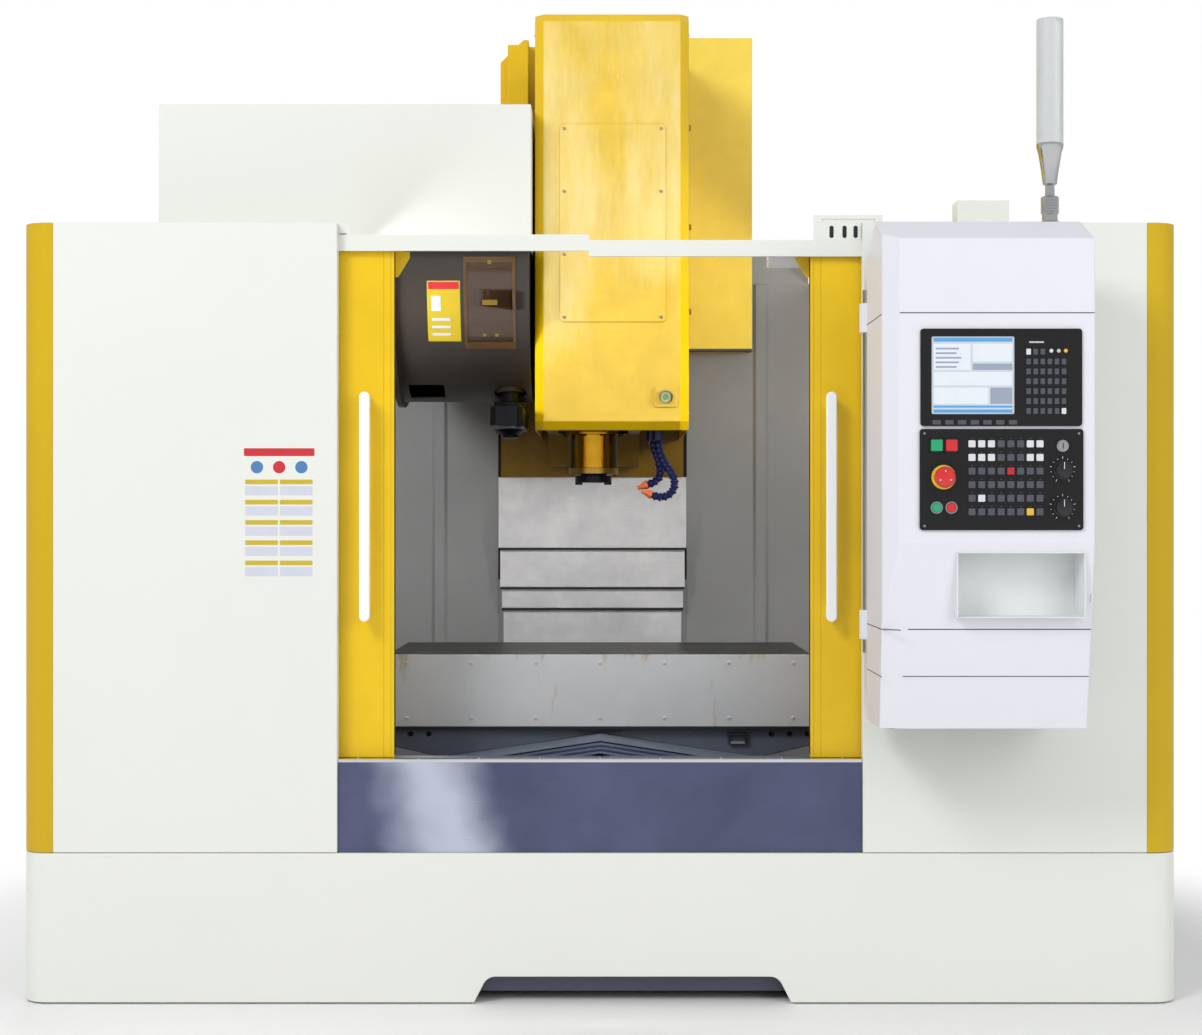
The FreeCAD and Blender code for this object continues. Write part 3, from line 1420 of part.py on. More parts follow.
def make_lamps():
    """Signal lamp on its post, and the work light behind the header."""
    top = "cabinet_top"
    post = [
        ("0", top), ("tube_radius", top), ("tube_radius", f"{top} + 37"), ("tube_radius - 18", f"{top} + 37"),
        ("tube_radius - 18", f"{top} + 94"), ("tube_radius - 28", f"{top} + 94"),
        ("tube_radius - 28", f"{top} + 131"), ("tube_radius - 20", f"{top} + 131"),
        ("tube_radius", "tube_bottom"), ("0", "tube_bottom"),
    ]
    keep(lathe(post, "lamp_across", "lamp_ahead", "0"), "lamp_post")
    inner = "tube_radius - tube_wall"
    tube = [
        (inner, "tube_bottom"), ("tube_radius", "tube_bottom"), ("tube_radius", "tube_top"),
        ("0", "tube_top"), ("0", "tube_top - tube_wall"), (inner, "tube_top - tube_wall"),
    ]
    keep(lathe(tube, "lamp_across", "lamp_ahead", "0"), "signal_lamp")
    light = tray(("light_left", "light_right"), ("rail_back", "rail_back + light_depth"),
                 ("light_bottom", "light_top"), "sheet", "-z")
    keep(light, "work_light")


def pendant_section(inset, bottom):
    """Side view of the pendant: slanting foot, upright face and roof-shaped top."""
    front, back = f"pendant_front + {inset}", f"pendant_back - {inset}"
    return [
        (front, "pendant_fold"), (front, f"pendant_front_top - {inset} / 2"),
        ("pendant_ridge", f"pendant_apex - {inset}"), (back, f"pendant_back_top - {inset} / 2"),
        (back, bottom),
        (f"{front} + pendant_slant", bottom),
    ]


def make_pendant():
    """Pendant shell with its niche, the panel cut-outs and the two sleeves on the post."""
    span = ("pendant_left", "pendant_right")
    outer = prism("x", pendant_section("0", "pendant_bottom"), *span)
    left = size("pendant_left")
    face = size("pendant_ridge")
    soften(outer, "Chamfer", "pendant_bevel", "z", lambda spot: near(spot.x, left) and spot.y < face)
    inside = prism("x", pendant_section("sheet", "pendant_bottom - sheet"), "pendant_left + pendant_bevel",
                   "pendant_right - sheet")
    niche_depth = ("pendant_front", "pendant_front + niche_depth")
    lining = box(("niche_left - sheet", "niche_right + sheet"), (niche_depth[0], niche_depth[1] + " + sheet"),
                 ("niche_bottom - sheet", "niche_top + sheet"))
    niche = box(("niche_left", "niche_right"), niche_depth, ("niche_bottom", "niche_top"))
    wells = []
    for name in ("display", "panel"):
        edges = [(f"{name}_left + panel_rim", f"{name}_right - panel_rim"),
                 (f"{name}_bottom + panel_rim", f"{name}_top - panel_rim")]
        wells.append(box(edges[0], ("pendant_front", "pendant_front + 2 * sheet"), edges[1]))
    shell = cut(outer, cut(inside, lining), niche, *wells)
    post, width = ("post_across", "post_ahead"), around("post_across", "post_radius / 2")
    lower, upper = "post_bottom", "post_top - bracket_height"
    bearings, bores = [], []
    for low in (f"{lower} + bracket_height + clearance", f"{upper} - sleeve_height - clearance"):
        high = f"{low} + sleeve_height"
        bearings.append(rod("z", post, "sleeve_radius", low, high))
        bearings.append(box(width, ("pendant_back", "post_ahead - post_radius"), (low, high)))
        bores.append(rod("z", post, "post_radius + running_fit", low, high))
    keep(cut(fuse(shell, *bearings), *bores), "pendant_shell")
    pipe = rod("z", post, "post_radius", "post_bottom", "post_top")
    arms = [box(width, ("post_ahead", "cabinet_front"), (low, f"{low} + bracket_height"))
            for low in (lower, upper)]
    keep(fuse(pipe, *arms), "pendant_post")


def key_rows(plate, first, rows, columns, pitch, row_pitch, width):
    """Rows of raised keys on a panel; first is the lower left corner of the lowest left key."""
    face = "pendant_front - panel_proud"
    for row in range(rows):
        low = f"{first[1]} + {row} * {row_pitch}"
        key = rectangle((first[0], f"{first[0]} + {width}"), (low, f"{low} + {width}"))
        single = pad(plate, "y", key, f"{face} - key_proud", face)
        repeat(plate, single, "x", pitch, columns)


def make_panels():
    """Display unit and operation panel on the face of the pendant, with their keys."""
    thickness = ("pendant_front - panel_proud", "pendant_front")
    outer = rectangle(("display_left", "display_right"), ("display_bottom", "display_top"))
    display = prism("y", outer, *thickness)
    screen = rectangle(("screen_left", "screen_right"), ("screen_bottom", "screen_top"))
    pocket(display, "y", screen, "pendant_front - panel_proud", "pendant_front - panel_proud / 2")
    key_rows(display, ("mdi_left", "screen_bottom"), 7, "mdi_columns", "small_key_pitch", "small_key_row",
             "small_key")
    key_rows(display, ("screen_left", "display_bottom + sheet"), 1, "soft_columns", "soft_pitch",
             "small_key_row", "small_key")
    keep(display, "display_unit")

    panel = prism("y", rectangle(("panel_left", "panel_right"), ("panel_bottom", "panel_top")), *thickness)
    key_rows(panel, ("keys_left", "keys_bottom"), 6, "key_columns", "key_pitch", "key_row_pitch", "key_size")
    face = "pendant_front - panel_proud"
    collar = rod("y", ("estop_across", "estop_height"), "estop_radius + button_gap * 12",
                 f"{face} - panel_proud / 2", face)
    barrel = rod("y", ("knob_across", "lock_height"), "round_button", f"{face} - panel_proud", face)
    depth = ("pendant_front - panel_proud * 2", "pendant_front")
    holes = []
    for name, across, up, half in SQUARE_BUTTONS:
        room = f"{half} + button_gap"
        holes.append(box(around(across, f"({room})"), depth, around(up, f"({room})")))
    for name, across, up, radius, gap in ROUND_CONTROLS:
        holes.append(rod("y", (across, up), f"{radius} + {gap}", *depth))
    keep(cut(fuse(panel, collar, barrel), *holes), "operation_panel")


SQUARE_BUTTONS = [
    ("start_button", "button_left", "square_height", "square_button / 2"),
    ("stop_button", "button_right", "square_height", "square_button / 2"),
]
ROUND_CONTROLS = [
    ("power_on_button", "button_left", "round_height", "round_button", "button_gap"),
    ("power_off_button", "button_right", "round_height", "round_button", "button_gap"),
    ("emergency_stop", "estop_across", "estop_height", "estop_stem", "button_gap"),
    ("feed_knob", "knob_across", "feed_knob_height", "button_stem", "running_fit"),
    ("spindle_knob", "knob_across", "spindle_knob_height", "button_stem", "running_fit"),
]


def make_controls():
    """Push buttons, emergency stop and override knobs, each in its hole of the operation panel."""
    face, back = "pendant_front - panel_proud", "pendant_front + sheet"
    for name, across, up, half in SQUARE_BUTTONS:
        button = prism("y", rectangle(around(across, half), around(up, half)), f"{face} - button_proud", back)
        front = size("pendant_front") - size("panel_proud") - size("button_proud")
        for axis in "xz":
            soften(button, "Fillet", "button_round", axis, lambda spot: near(spot.y, front))
        keep(button, name)
    for name, across, up, radius, gap in ROUND_CONTROLS[:2]:
        profile = [
            ("0", "-panel_proud - button_proud"), (f"{radius} - button_round", "-panel_proud - button_proud"),
            (radius, "-panel_proud - button_proud + button_round"), (radius, "sheet"), ("0", "sheet"),
        ]
        keep(lathe(profile, across, "pendant_front", up, axis="y"), name)
    name, across, up, radius, gap = ROUND_CONTROLS[2]
    cap = "-panel_proud - estop_proud"
    mushroom = [
        ("0", cap), ("estop_radius * 0.7", cap), ("estop_radius", f"{cap} + estop_dome"),
        ("estop_radius", f"{cap} + 2 * estop_dome"), (radius, f"{cap} + 3 * estop_dome"), (radius, "sheet"),
        ("0", "sheet"),
    ]
    keep(lathe(mushroom, across, "pendant_front", up, axis="y"), name)
    for name, across, up, radius, gap in ROUND_CONTROLS[3:]:
        cap = "-panel_proud - knob_proud"
        foot = "-panel_proud - clearance"
        profile = [
            ("0", cap), ("knob_radius * 0.8", cap), ("knob_radius * 0.85", f"{foot} - knob_skirt"),
            ("knob_radius", f"{foot} - knob_skirt"), ("knob_radius", foot), (radius, foot), (radius, "sheet"),
            ("0", "sheet"),
        ]
        knob = lathe(profile, across, "pendant_front", up, axis="y")
        pointer = rectangle(both("sheet / 2"), (f"{cap} - sheet / 2", f"{foot} - knob_skirt"))
        pad(knob, "y", pointer, "0", "knob_radius * 0.8")
        keep(knob, name)


def check():
    """Stop on a failed object, an empty cut or a broken shape."""
    for thing in doc.Objects:
        if "Invalid" in thing.State or "Error" in thing.State:
            raise RuntimeError(f"{thing.Name} failed in {thing.Label}")
        if thing.TypeId == "PartDesign::Pocket" and thing.BaseFeature:
            if thing.BaseFeature.Shape.Volume - thing.Shape.Volume < 1:
                raise RuntimeError(f"{thing.Name} of {thing.getParentGeoFeatureGroup().Label} cuts nothing")
    for node in nodes:
        if node.Shape.isNull() or not node.Shape.isValid() or not node.Shape.Solids:
            raise RuntimeError(f"{node.Label} has no valid solid")


def main():
    """Build every sub-part, check it and write its file."""
    makers = [
        make_plinth, make_tank, make_chip_pan, make_bed, make_feet, make_column, make_motors, make_screws,
        make_saddle, make_y_covers, make_table, make_headstock, make_head_cover, make_spindle,
        make_coolant_line, make_z_covers, make_splash_walls, make_front, make_header, make_roof,
        make_magazine, make_chain_cover, make_electrics, make_lamps, make_pendant, make_panels, make_controls,
    ]
    for maker in makers:
        maker()
    make_door("left", "door_left_edge", "-")
    make_door("right", "door_right_edge", "+")
    doc.recompute()
    check()
    os.makedirs("parts", exist_ok=True)
    for node in nodes:
        node.Shape.exportStep(f"parts/{node.Label}.step")
    print(len(nodes), "sub-parts written")


main()
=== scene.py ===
"""Looks of a vertical machining centre: finishes, small hardware, controls and the studio round it.

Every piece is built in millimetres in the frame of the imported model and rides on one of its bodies.
"""
import json
import math

import bmesh
import bpy
from mathutils import Matrix, Vector


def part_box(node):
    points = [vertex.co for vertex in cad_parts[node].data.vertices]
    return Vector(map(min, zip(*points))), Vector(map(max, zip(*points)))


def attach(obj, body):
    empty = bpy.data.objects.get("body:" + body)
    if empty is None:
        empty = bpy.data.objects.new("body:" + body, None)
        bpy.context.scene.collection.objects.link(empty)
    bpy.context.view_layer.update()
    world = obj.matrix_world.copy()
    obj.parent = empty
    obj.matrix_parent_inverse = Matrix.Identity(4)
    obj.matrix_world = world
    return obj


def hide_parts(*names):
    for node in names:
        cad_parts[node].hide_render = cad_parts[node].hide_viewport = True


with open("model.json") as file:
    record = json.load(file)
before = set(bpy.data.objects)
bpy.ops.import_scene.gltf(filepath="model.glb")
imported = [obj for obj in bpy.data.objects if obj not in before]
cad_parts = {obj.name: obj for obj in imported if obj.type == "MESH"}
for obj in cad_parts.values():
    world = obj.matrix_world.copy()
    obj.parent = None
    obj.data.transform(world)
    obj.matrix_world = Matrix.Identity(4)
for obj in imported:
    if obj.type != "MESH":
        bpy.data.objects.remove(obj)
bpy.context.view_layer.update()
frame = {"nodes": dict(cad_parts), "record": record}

bl_info = {
    "name": "Vertical machining centre",
    "version": (1, 0, 0),
    "blender": (4, 5, 0),
    "location": "View3D > Sidebar > Machine",
    "description": "Dresses the machining centre with its finishes, hardware, controls and studio",
    "category": "Add Mesh",
}

MM = 1000  # millimetres in a metre
BODY_OF = {node: body for body, nodes in frame["record"]["behaviour"]["bodies"].items() for node in nodes}
AXES = {"x": (1, 2, 0), "y": (0, 2, 1), "z": (0, 1, 2)}
SIDES = (-1, 1)

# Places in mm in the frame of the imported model; a pair is X and Y of an upright axis, or X and Z on a front.
SPINDLE_AXIS = (-24, -40)
ARM_AXIS = (-316, -40)
LAMP_AXIS = (1398, -920)
DRUM_AXIS = (100, 2355)  # Y and Z, as the drum lies along X
DRUM_RADIUS = 450
WINDOW_X, WINDOW_Z = (-456, -292), (2075, 2364)
WALL_FACE = 690  # front of the rear splash wall
HEAD_FACE = -281  # front of the head cover
SHELL_FACE, PANEL_FACE = -1500, -1508  # front of the pendant's shell and of its two panels
STOP_SPOT = (973, 1604)
BUTTON_X, SQUARE_Z, ROUND_Z = (953, 995), 1694, 1518
KNOB_X, FEED_Z, SPEED_Z = 1310, 1625, 1519
THREAD_PITCH = 12.0
POINT = 1e-6  # a radius below this is a single corner


def linear(code):
    """Linear colour, with alpha, of an sRGB hex value."""
    parts = [int(code[i:i + 2], 16) / 255 for i in (1, 3, 5)]
    return tuple(p / 12.92 if p <= 0.04045 else ((p + 0.055) / 1.055) ** 2.4 for p in parts) + (1.0,)


# ---------------------------------------------------------------- settings

def tint(name, description, code):
    """Colour setting that starts from an sRGB hex value."""
    return bpy.props.FloatVectorProperty(name=name, description=description, subtype="COLOR", size=4,
                                         min=0, max=1, default=linear(code))


def length(name, description, metres):
    """Length setting in scene units."""
    return bpy.props.FloatProperty(name=name, description=description, default=metres, min=0,
                                   unit="LENGTH", subtype="DISTANCE")


class CabinetSettings(bpy.types.PropertyGroup):
    """Paint and edges of the enclosure."""
    white: tint("Panel white", "Powder coat of panels, hood and plinth", "#E4E6DF")
    yellow: tint("Machine yellow", "Enamel of doors and head cover", "#E9C004")
    pillar: tint("Pillar yellow", "Enamel of the corner pillars", "#CDA900")
    fold: length("Fold radius", "Outer radius where a sheet is folded", 0.004)
    screw: length("Screw head", "Radius of a panel screw's head", 0.0055)


class ControlSettings(bpy.types.PropertyGroup):
    """Pendant and its controls."""
    shell: tint("Pendant colour", "Paint of the pendant", "#E0E0E8")
    glow: bpy.props.FloatProperty(name="Screen glow", description="Light given off by the screen",
                                  default=0.3, min=0, max=3)
    key_edge: length("Key edge", "Rounding of a key's edges", 0.0012)


class StudioSettings(bpy.types.PropertyGroup):
    """Camera and light."""
    distance: length("Camera distance", "From the cabinet's front to the camera", 6.5)
    height: length("Camera height", "Above the floor", 1.49)
    lens: bpy.props.FloatProperty(name="Lens", description="Focal length on a 36 mm sensor", default=63.6,
                                  min=10, unit="CAMERA")
    sky: bpy.props.FloatProperty(name="Sky", description="Even light from all round", default=0.62, min=0)
    key: bpy.props.FloatProperty(name="Key lamp", description="Power of the large front lamp", default=310,
                                 min=0, unit="POWER")


# ---------------------------------------------------------------- materials

def add(tree, kind, inputs=None, **settings):
    """Add a shader node; inputs maps a socket to a value or to another node's output."""
    node = tree.nodes.new("ShaderNode" + kind)
    for key, value in settings.items():
        setattr(node, key, value)
    for key, value in (inputs or {}).items():
        if isinstance(value, bpy.types.NodeSocket):
            tree.links.new(value, node.inputs[key])
        else:
            node.inputs[key].default_value = value
    return node


def blank(name):
    """New material with only its output and a principled shader."""
    made = bpy.data.materials.new(name)
    made.use_nodes = True
    tree = made.node_tree
    tree.nodes.clear()
    shader = add(tree, "BsdfPrincipled")
    add(tree, "OutputMaterial", {"Surface": shader.outputs[0]})
    return tree, shader


def shade(colour, factor):
    """Colour made lighter or darker, kept inside the range."""
    return tuple(min(1.0, part * factor) for part in colour[:3]) + (1.0,)


def blend(tree, factor, first, second):
    """Colour between two others."""
    mix = add(tree, "Mix", {"Factor": factor, "A": first, "B": second}, data_type="RGBA")
    return mix.outputs["Result"]


def finish(name, colour, metallic=0.0, roughness=0.5, cloud=None, grain=None, brush=None, coat=0.0,
           stain_and_sheen=None, painted_reflection=None, rim=None, clear=0.0, glow=0.0):
    """Surface from real sizes in mm.

    cloud is (size, amount) of slow tone changes, grain is (size, depth) of fine bumps, brush is
    (axis, line width, depth) of polishing lines, stain_and_sheen is (colour, size, share, z low, z high)
    of patches that grow from z low to z high, real rust on one finish and a painted highlight on another,
    and painted_reflection is (colour, place across, lean, half width) of a slanting band of painted
    reflection. rim is a colour painted where the surface is seen at a slant, a painted shade at its sides;
    clear is the share of light let through and glow the light given off.
    """
    tree, shader = blank(name)
    colour = linear(colour) if isinstance(colour, str) else tuple(colour)
    sockets = shader.inputs
    sockets["Base Color"].default_value = colour
    sockets["Metallic"].default_value = metallic
    sockets["Roughness"].default_value = roughness
    sockets["Coat Weight"].default_value = coat
    sockets["Coat Roughness"].default_value = 0.15
    sockets["Transmission Weight"].default_value = clear
    if glow:
        sockets["Emission Color"].default_value = colour
        sockets["Emission Strength"].default_value = glow
    place = add(tree, "TexCoord").outputs["Object"]
    tone = colour
    if cloud:
        size, amount = cloud
        noise = add(tree, "TexNoise", {"Vector": place, "Scale": MM / size, "Detail": 4.0,
                                       "Roughness": 0.6})
        patch = add(tree, "MapRange", {"Value": noise.outputs[0], "From Min": 0.3, "From Max": 0.7})
        tone = blend(tree, patch.outputs[0], shade(colour, 1 - amount), shade(colour, 1 + amount))
    if brush:
        axis, line, depth = brush
        stretch = [MM / line] * 3
        stretch["xyz".index(axis)] *= 0.012
        lines = add(tree, "Mapping", {"Vector": place, "Scale": stretch})
        streak = add(tree, "TexNoise", {"Vector": lines.outputs[0], "Scale": 1.0, "Detail": 3.0})
        rough = add(tree, "MapRange", {"Value": streak.outputs[0], "From Min": 0.3, "From Max": 0.7,
                                       "To Min": roughness * 0.75, "To Max": roughness * 1.3})
        tree.links.new(rough.outputs[0], sockets["Roughness"])
        lined = blend(tree, streak.outputs[0], shade(colour, 0.82), shade(colour, 1.16))
        tone = blend(tree, 0.5, tone, lined) if cloud else lined
        relief = add(tree, "Bump", {"Height": streak.outputs[0], "Distance": depth / MM,
                                    "Strength": 0.6})
        tree.links.new(relief.outputs[0], sockets["Normal"])
    elif grain:
        size, depth = grain
        bumps = add(tree, "TexNoise", {"Vector": place, "Scale": MM / size, "Detail": 2.0})
        relief = add(tree, "Bump", {"Height": bumps.outputs[0], "Distance": depth / MM,
                                    "Strength": 0.7})
        tree.links.new(relief.outputs[0], sockets["Normal"])
    # Patches from a noise, more of them from z low to z high: real rust on the guard, a painted highlight on
    # the head cover.
    if stain_and_sheen:
        mark, size, share, low, high = stain_and_sheen
        drawn = add(tree, "Mapping", {"Vector": place, "Scale": (MM / size, MM / size, 220 / size)})
        blot = add(tree, "TexNoise", {"Vector": drawn.outputs[0], "Scale": 1.0, "Detail": 6.0,
                                      "Roughness": 0.65})
        height = add(tree, "SeparateXYZ", {"Vector": place}).outputs["Z"]
        edge = add(tree, "MapRange", {"Value": height, "From Min": low / MM, "From Max": high / MM,
                                      "To Min": 0.0, "To Max": share})
        mask = add(tree, "Math", {0: blot.outputs[0], 1: edge.outputs[0]}, operation="ADD")
        sharp = add(tree, "MapRange", {"Value": mask.outputs[0], "From Min": 0.62, "From Max": 0.82})
        tone = blend(tree, sharp.outputs[0], tone, linear(mark))
    # Painted reflection: a bright slanting band, set where a lamp would be mirrored in the sheet.
    if painted_reflection:
        bright, across, lean, half = painted_reflection
        ripple = add(tree, "TexNoise", {"Vector": place, "Scale": 5.0, "Detail": 2.0})
        along = add(tree, "VectorMath", {0: place, 1: (1.0, 0.0, lean)}, operation="DOT_PRODUCT")
        bent = add(tree, "Math", {0: ripple.outputs[0], 1: half / 1200, 2: along.outputs["Value"]},
                   operation="MULTIPLY_ADD")
        away = add(tree, "Math", {0: bent.outputs[0], 1: (across + half * 0.42) / MM},
                   operation="SUBTRACT")
        apart = add(tree, "Math", {0: away.outputs[0]}, operation="ABSOLUTE")
        near = add(tree, "MapRange", {"Value": apart.outputs[0], "From Min": half / MM,
                                      "From Max": 0.0, "To Max": 0.9}, interpolation_type="SMOOTHSTEP")
        tone = blend(tree, near.outputs[0], tone, linear(bright))
    # Painted shade: the colour darkens where the surface is seen at a slant.
    if rim:
        slant = add(tree, "LayerWeight", {"Blend": 0.86})
        tone = blend(tree, slant.outputs["Facing"], tone, linear(rim))
    if tone is not colour:
        tree.links.new(tone, sockets["Base Color"])


def make_finishes(cabinet, controls):
    """All finishes of the machine, each named for the real material or for the light painted into it."""
    # Polyester powder coat on sheet steel: even sheen, fine orange peel, slow tone changes.
    finish("powder coat, white", cabinet.white, roughness=0.42, cloud=(900, 0.012), grain=(2.2, 0.05))
    finish("powder coat, handle white", "#F6F7F4", roughness=0.35, cloud=(300, 0.01), grain=(2.0, 0.03))
    finish("powder coat, cabinet grey", "#B9BBBA", roughness=0.45, cloud=(700, 0.02), grain=(2.2, 0.05))
    finish("powder coat, niche grey", "#E4E7E7", roughness=0.45, cloud=(200, 0.03), grain=(1.8, 0.04))
    finish("powder coat, wall grey", "#98999A", roughness=0.48, cloud=(420, 0.06), grain=(2.5, 0.06))
    finish("powder coat, tank slate", "#4E4E62", roughness=0.5, cloud=(300, 0.05), grain=(2.5, 0.06))
    finish("powder coat, pendant", controls.shell, roughness=0.4, cloud=(500, 0.012), grain=(1.8, 0.04))
    # Two-part enamel, sprayed and wiped down daily: glossier, with oily clouds and darker patches.
    finish("enamel, machine yellow", cabinet.yellow, roughness=0.4, cloud=(260, 0.06), grain=(3.0, 0.05))
    # Lighter copy of the machine yellow for the head cover's front, with pale patches that grow towards the
    # top: painted highlight.
    finish("enamel, pale yellow", "#EAC54A", roughness=0.4, cloud=(150, 0.09), grain=(3.0, 0.05),
           stain_and_sheen=("#F4DE92", 260, 0.2, 1700, 2600))
    # Lighter copy of the yellow for the chain cover: painted light against the shade of the head.
    finish("enamel, straw yellow", "#FBDB58", roughness=0.42, cloud=(150, 0.07), grain=(3.0, 0.05))
    finish("enamel, pillar yellow", cabinet.pillar, roughness=0.55, cloud=(600, 0.04), grain=(3.0, 0.04))
    finish("enamel, dull yellow", "#80600A", roughness=0.5, cloud=(90, 0.16), grain=(4.0, 0.15))
    finish("enamel, drum brown", "#3B3733", roughness=0.42, cloud=(260, 0.12), grain=(1.6, 0.06))
    finish("enamel, guard grey", "#BEC0C2", roughness=0.42, cloud=(240, 0.05), grain=(2.5, 0.06),
           stain_and_sheen=("#A07A20", 45, 0.11, 985, 1036))
    # Grey iron, filled and painted: soft skin that still shows the sand.
    finish("painted grey iron", "#59606E", roughness=0.55, cloud=(220, 0.08), grain=(5.0, 0.35))
    finish("painted motor black", "#1D1E21", roughness=0.45, cloud=(150, 0.08), grain=(2.0, 0.12))
    # Stainless sheet, cloudy from coolant and chips.
    finish("stainless sheet, clouded", "#F4F4FB", metallic=0.15, roughness=0.42, cloud=(130, 0.33),
           brush=("x", 2.5, 0.02))
    # The blued apron's strong cloud is partly random tone, partly painted sheen; its slanting band is a
    # painted reflection.
    finish("stainless sheet, blued", "#565A78", metallic=0.6, roughness=0.36, cloud=(300, 0.35),
           brush=("x", 3.0, 0.03), painted_reflection=("#CDD1E4", -252, 0.4, 230))
    finish("stainless strip, bright", "#D4D5D8", metallic=1.0, roughness=0.24, brush=("x", 1.5, 0.01))
    finish("oiled steel cover", "#5A6080", metallic=0.75, roughness=0.32, cloud=(110, 0.25),
           brush=("y", 3.0, 0.03))
    # Ground and turned metal: bright or dark under its oil, with the fine lines of wheel and tool.
    finish("ground iron, oiled", "#403D3B", metallic=0.8, roughness=0.36, cloud=(150, 0.2),
           brush=("x", 1.5, 0.01))
    finish("turned steel", "#C2C3C4", metallic=1.0, roughness=0.2, brush=("z", 1.0, 0.01), cloud=(60, 0.05))
    finish("zinc plated steel", "#C3C5C8", metallic=1.0, roughness=0.34, cloud=(25, 0.08))
    finish("black oxide steel", "#24262A", metallic=0.85, roughness=0.38, cloud=(40, 0.12), grain=(1.5, 0.03))
    finish("anodised aluminium", "#B7BABD", metallic=1.0, roughness=0.35, brush=("z", 1.2, 0.01))
    # The spindle's gold is a painted reflection of the yellow head and its dark rim a painted shade at its
    # sides.
    finish("spindle steel, oiled", "#F2B22E", metallic=1.0, roughness=0.13, cloud=(60, 0.2),
           brush=("z", 1.0, 0.01), rim="#120A03")
    finish("brass", "#C2A04A", metallic=1.0, roughness=0.3, cloud=(20, 0.06))
    # Plastics of the controls: dull film, keys with a fine tooth, glossy caps under a clear skin.
    finish("polyester film, black", "#0A0A0D", roughness=0.6, cloud=(300, 0.04), grain=(0.8, 0.01))
    for name, code, roughness in (("grey", "#4C4E57", 0.55), ("white", "#D4D6DA", 0.5),
                                  ("red", "#B9232A", 0.45), ("amber", "#E0B43C", 0.45)):
        finish("silicone key, " + name, code, roughness=roughness, grain=(0.7, 0.01))
    finish("polycarbonate, green", "#13A06A", roughness=0.25, cloud=(12, 0.05), coat=0.5)
    finish("polycarbonate, red", "#CE1F22", roughness=0.25, cloud=(12, 0.05), coat=0.5)
    finish("polycarbonate, yellow", "#E3C01E", roughness=0.3, cloud=(20, 0.04), coat=0.4)
    finish("phenolic knob, black", "#141519", roughness=0.35, grain=(1.0, 0.02), coat=0.2)
    finish("acetal, blue", "#11194E", roughness=0.33, cloud=(14, 0.12), grain=(1.2, 0.02))
    finish("acetal, orange", "#E07040", roughness=0.38, cloud=(14, 0.08), grain=(1.2, 0.02))
    # Brown sheen of the window rim, then dull rubber and dark gaps.
    finish("bronze film", "#6E5236", metallic=0.4, roughness=0.35, cloud=(60, 0.12))
    finish("nitrile rubber", "#202226", roughness=0.7, grain=(1.5, 0.05))
    finish("gap shadow", "#50525C", roughness=0.8, cloud=(60, 0.1))
    # Tube, lens and panes: they let light through or carry it, with sharp reflections on the panes.
    finish("acrylic tube, milky", "#DADDDD", roughness=0.3, cloud=(90, 0.04), coat=0.5, clear=0.25)
    finish("acrylic lens, lit", "#C9CBCA", roughness=0.4, cloud=(60, 0.02), glow=0.12)
    finish("sight glass, green", "#4FA07C", roughness=0.08, cloud=(14, 0.2), coat=0.8)
    finish("polycarbonate pane, clear", "#DCE6E6", roughness=0.04, cloud=(500, 0.02), clear=0.92)
    finish("polycarbonate pane, smoked", "#7A5A42", roughness=0.06, cloud=(120, 0.2), clear=0.75, coat=0.6)
    # Printed card, and the lit fields of the screen behind its glass.
    for name, code, amount in (("warm yellow", "#C9B02C", 0.04), ("signal red", "#C8323A", 0.04),
                               ("steel blue", "#4F7FB4", 0.04), ("pale grey", "#CDD0DC", 0.03)):
        finish("card, " + name, code, roughness=0.55, cloud=(60, amount))
    for name, code in (("pale", "#B4BBC4"), ("white", "#C8CED4"), ("blue", "#4F90C4"), ("grey", "#8790A0")):
        finish("lit screen, " + name, code, roughness=0.2, cloud=(40, 0.02), glow=controls.glow)


# ---------------------------------------------------------------- shapes

def place(axis, a, b, along):
    """Point from two coordinates across an axis, in X, Y, Z order, and one along it."""
    spot = [0.0, 0.0, 0.0]
    for index, value in zip(AXES[axis], (a, b, along)):
        spot[index] = value
    return Vector(spot)


def block(bm, x, y, z, slot=0):
    """Cuboid between two values each way."""
    spots = [bm.verts.new((a, b, c)) for a in x for b in y for c in z]
    for quad in ((0, 1, 3, 2), (4, 6, 7, 5), (0, 4, 5, 1), (2, 3, 7, 6), (0, 2, 6, 4), (1, 5, 7, 3)):
        bm.faces.new([spots[i] for i in quad]).material_index = slot


def loft(bm, rings, slot=0, closed=False):
    """Faces between rings of as many corners.

    closed joins the last ring to the first; otherwise both ends are capped.
    """
    pairs = list(zip(rings, rings[1:]))
    faces = []
    if closed:
        pairs.append((rings[-1], rings[0]))
    else:
        faces = [bm.faces.new(rings[0]), bm.faces.new(rings[-1][::-1])]
    for one, two in pairs:
        for i in range(len(one)):
            k = (i + 1) % len(one)
            faces.append(bm.faces.new([one[i], one[k], two[k], two[i]]))
    for face in faces:
        face.material_index = slot


def lines(bm, axis, outlines):
    """Rings of corners from (outline, place along the axis) pairs."""
    return [[bm.verts.new(place(axis, a, b, along)) for a, b in outline] for outline, along in outlines]


def prism(bm, axis, outline, low, high, slot=0):
    """Solid of constant section along an axis."""
    loft(bm, lines(bm, axis, ((outline, low), (outline, high))), slot)


def hoop(bm, axis, centre, along, radii):
    """Ring of corners round an axis, one for each radius."""
    turns = [2 * math.pi * i / len(radii) for i in range(len(radii))]
    return [bm.verts.new(place(axis, centre[0] + radius * math.cos(turn),
                               centre[1] + radius * math.sin(turn), along))
            for radius, turn in zip(radii, turns)]


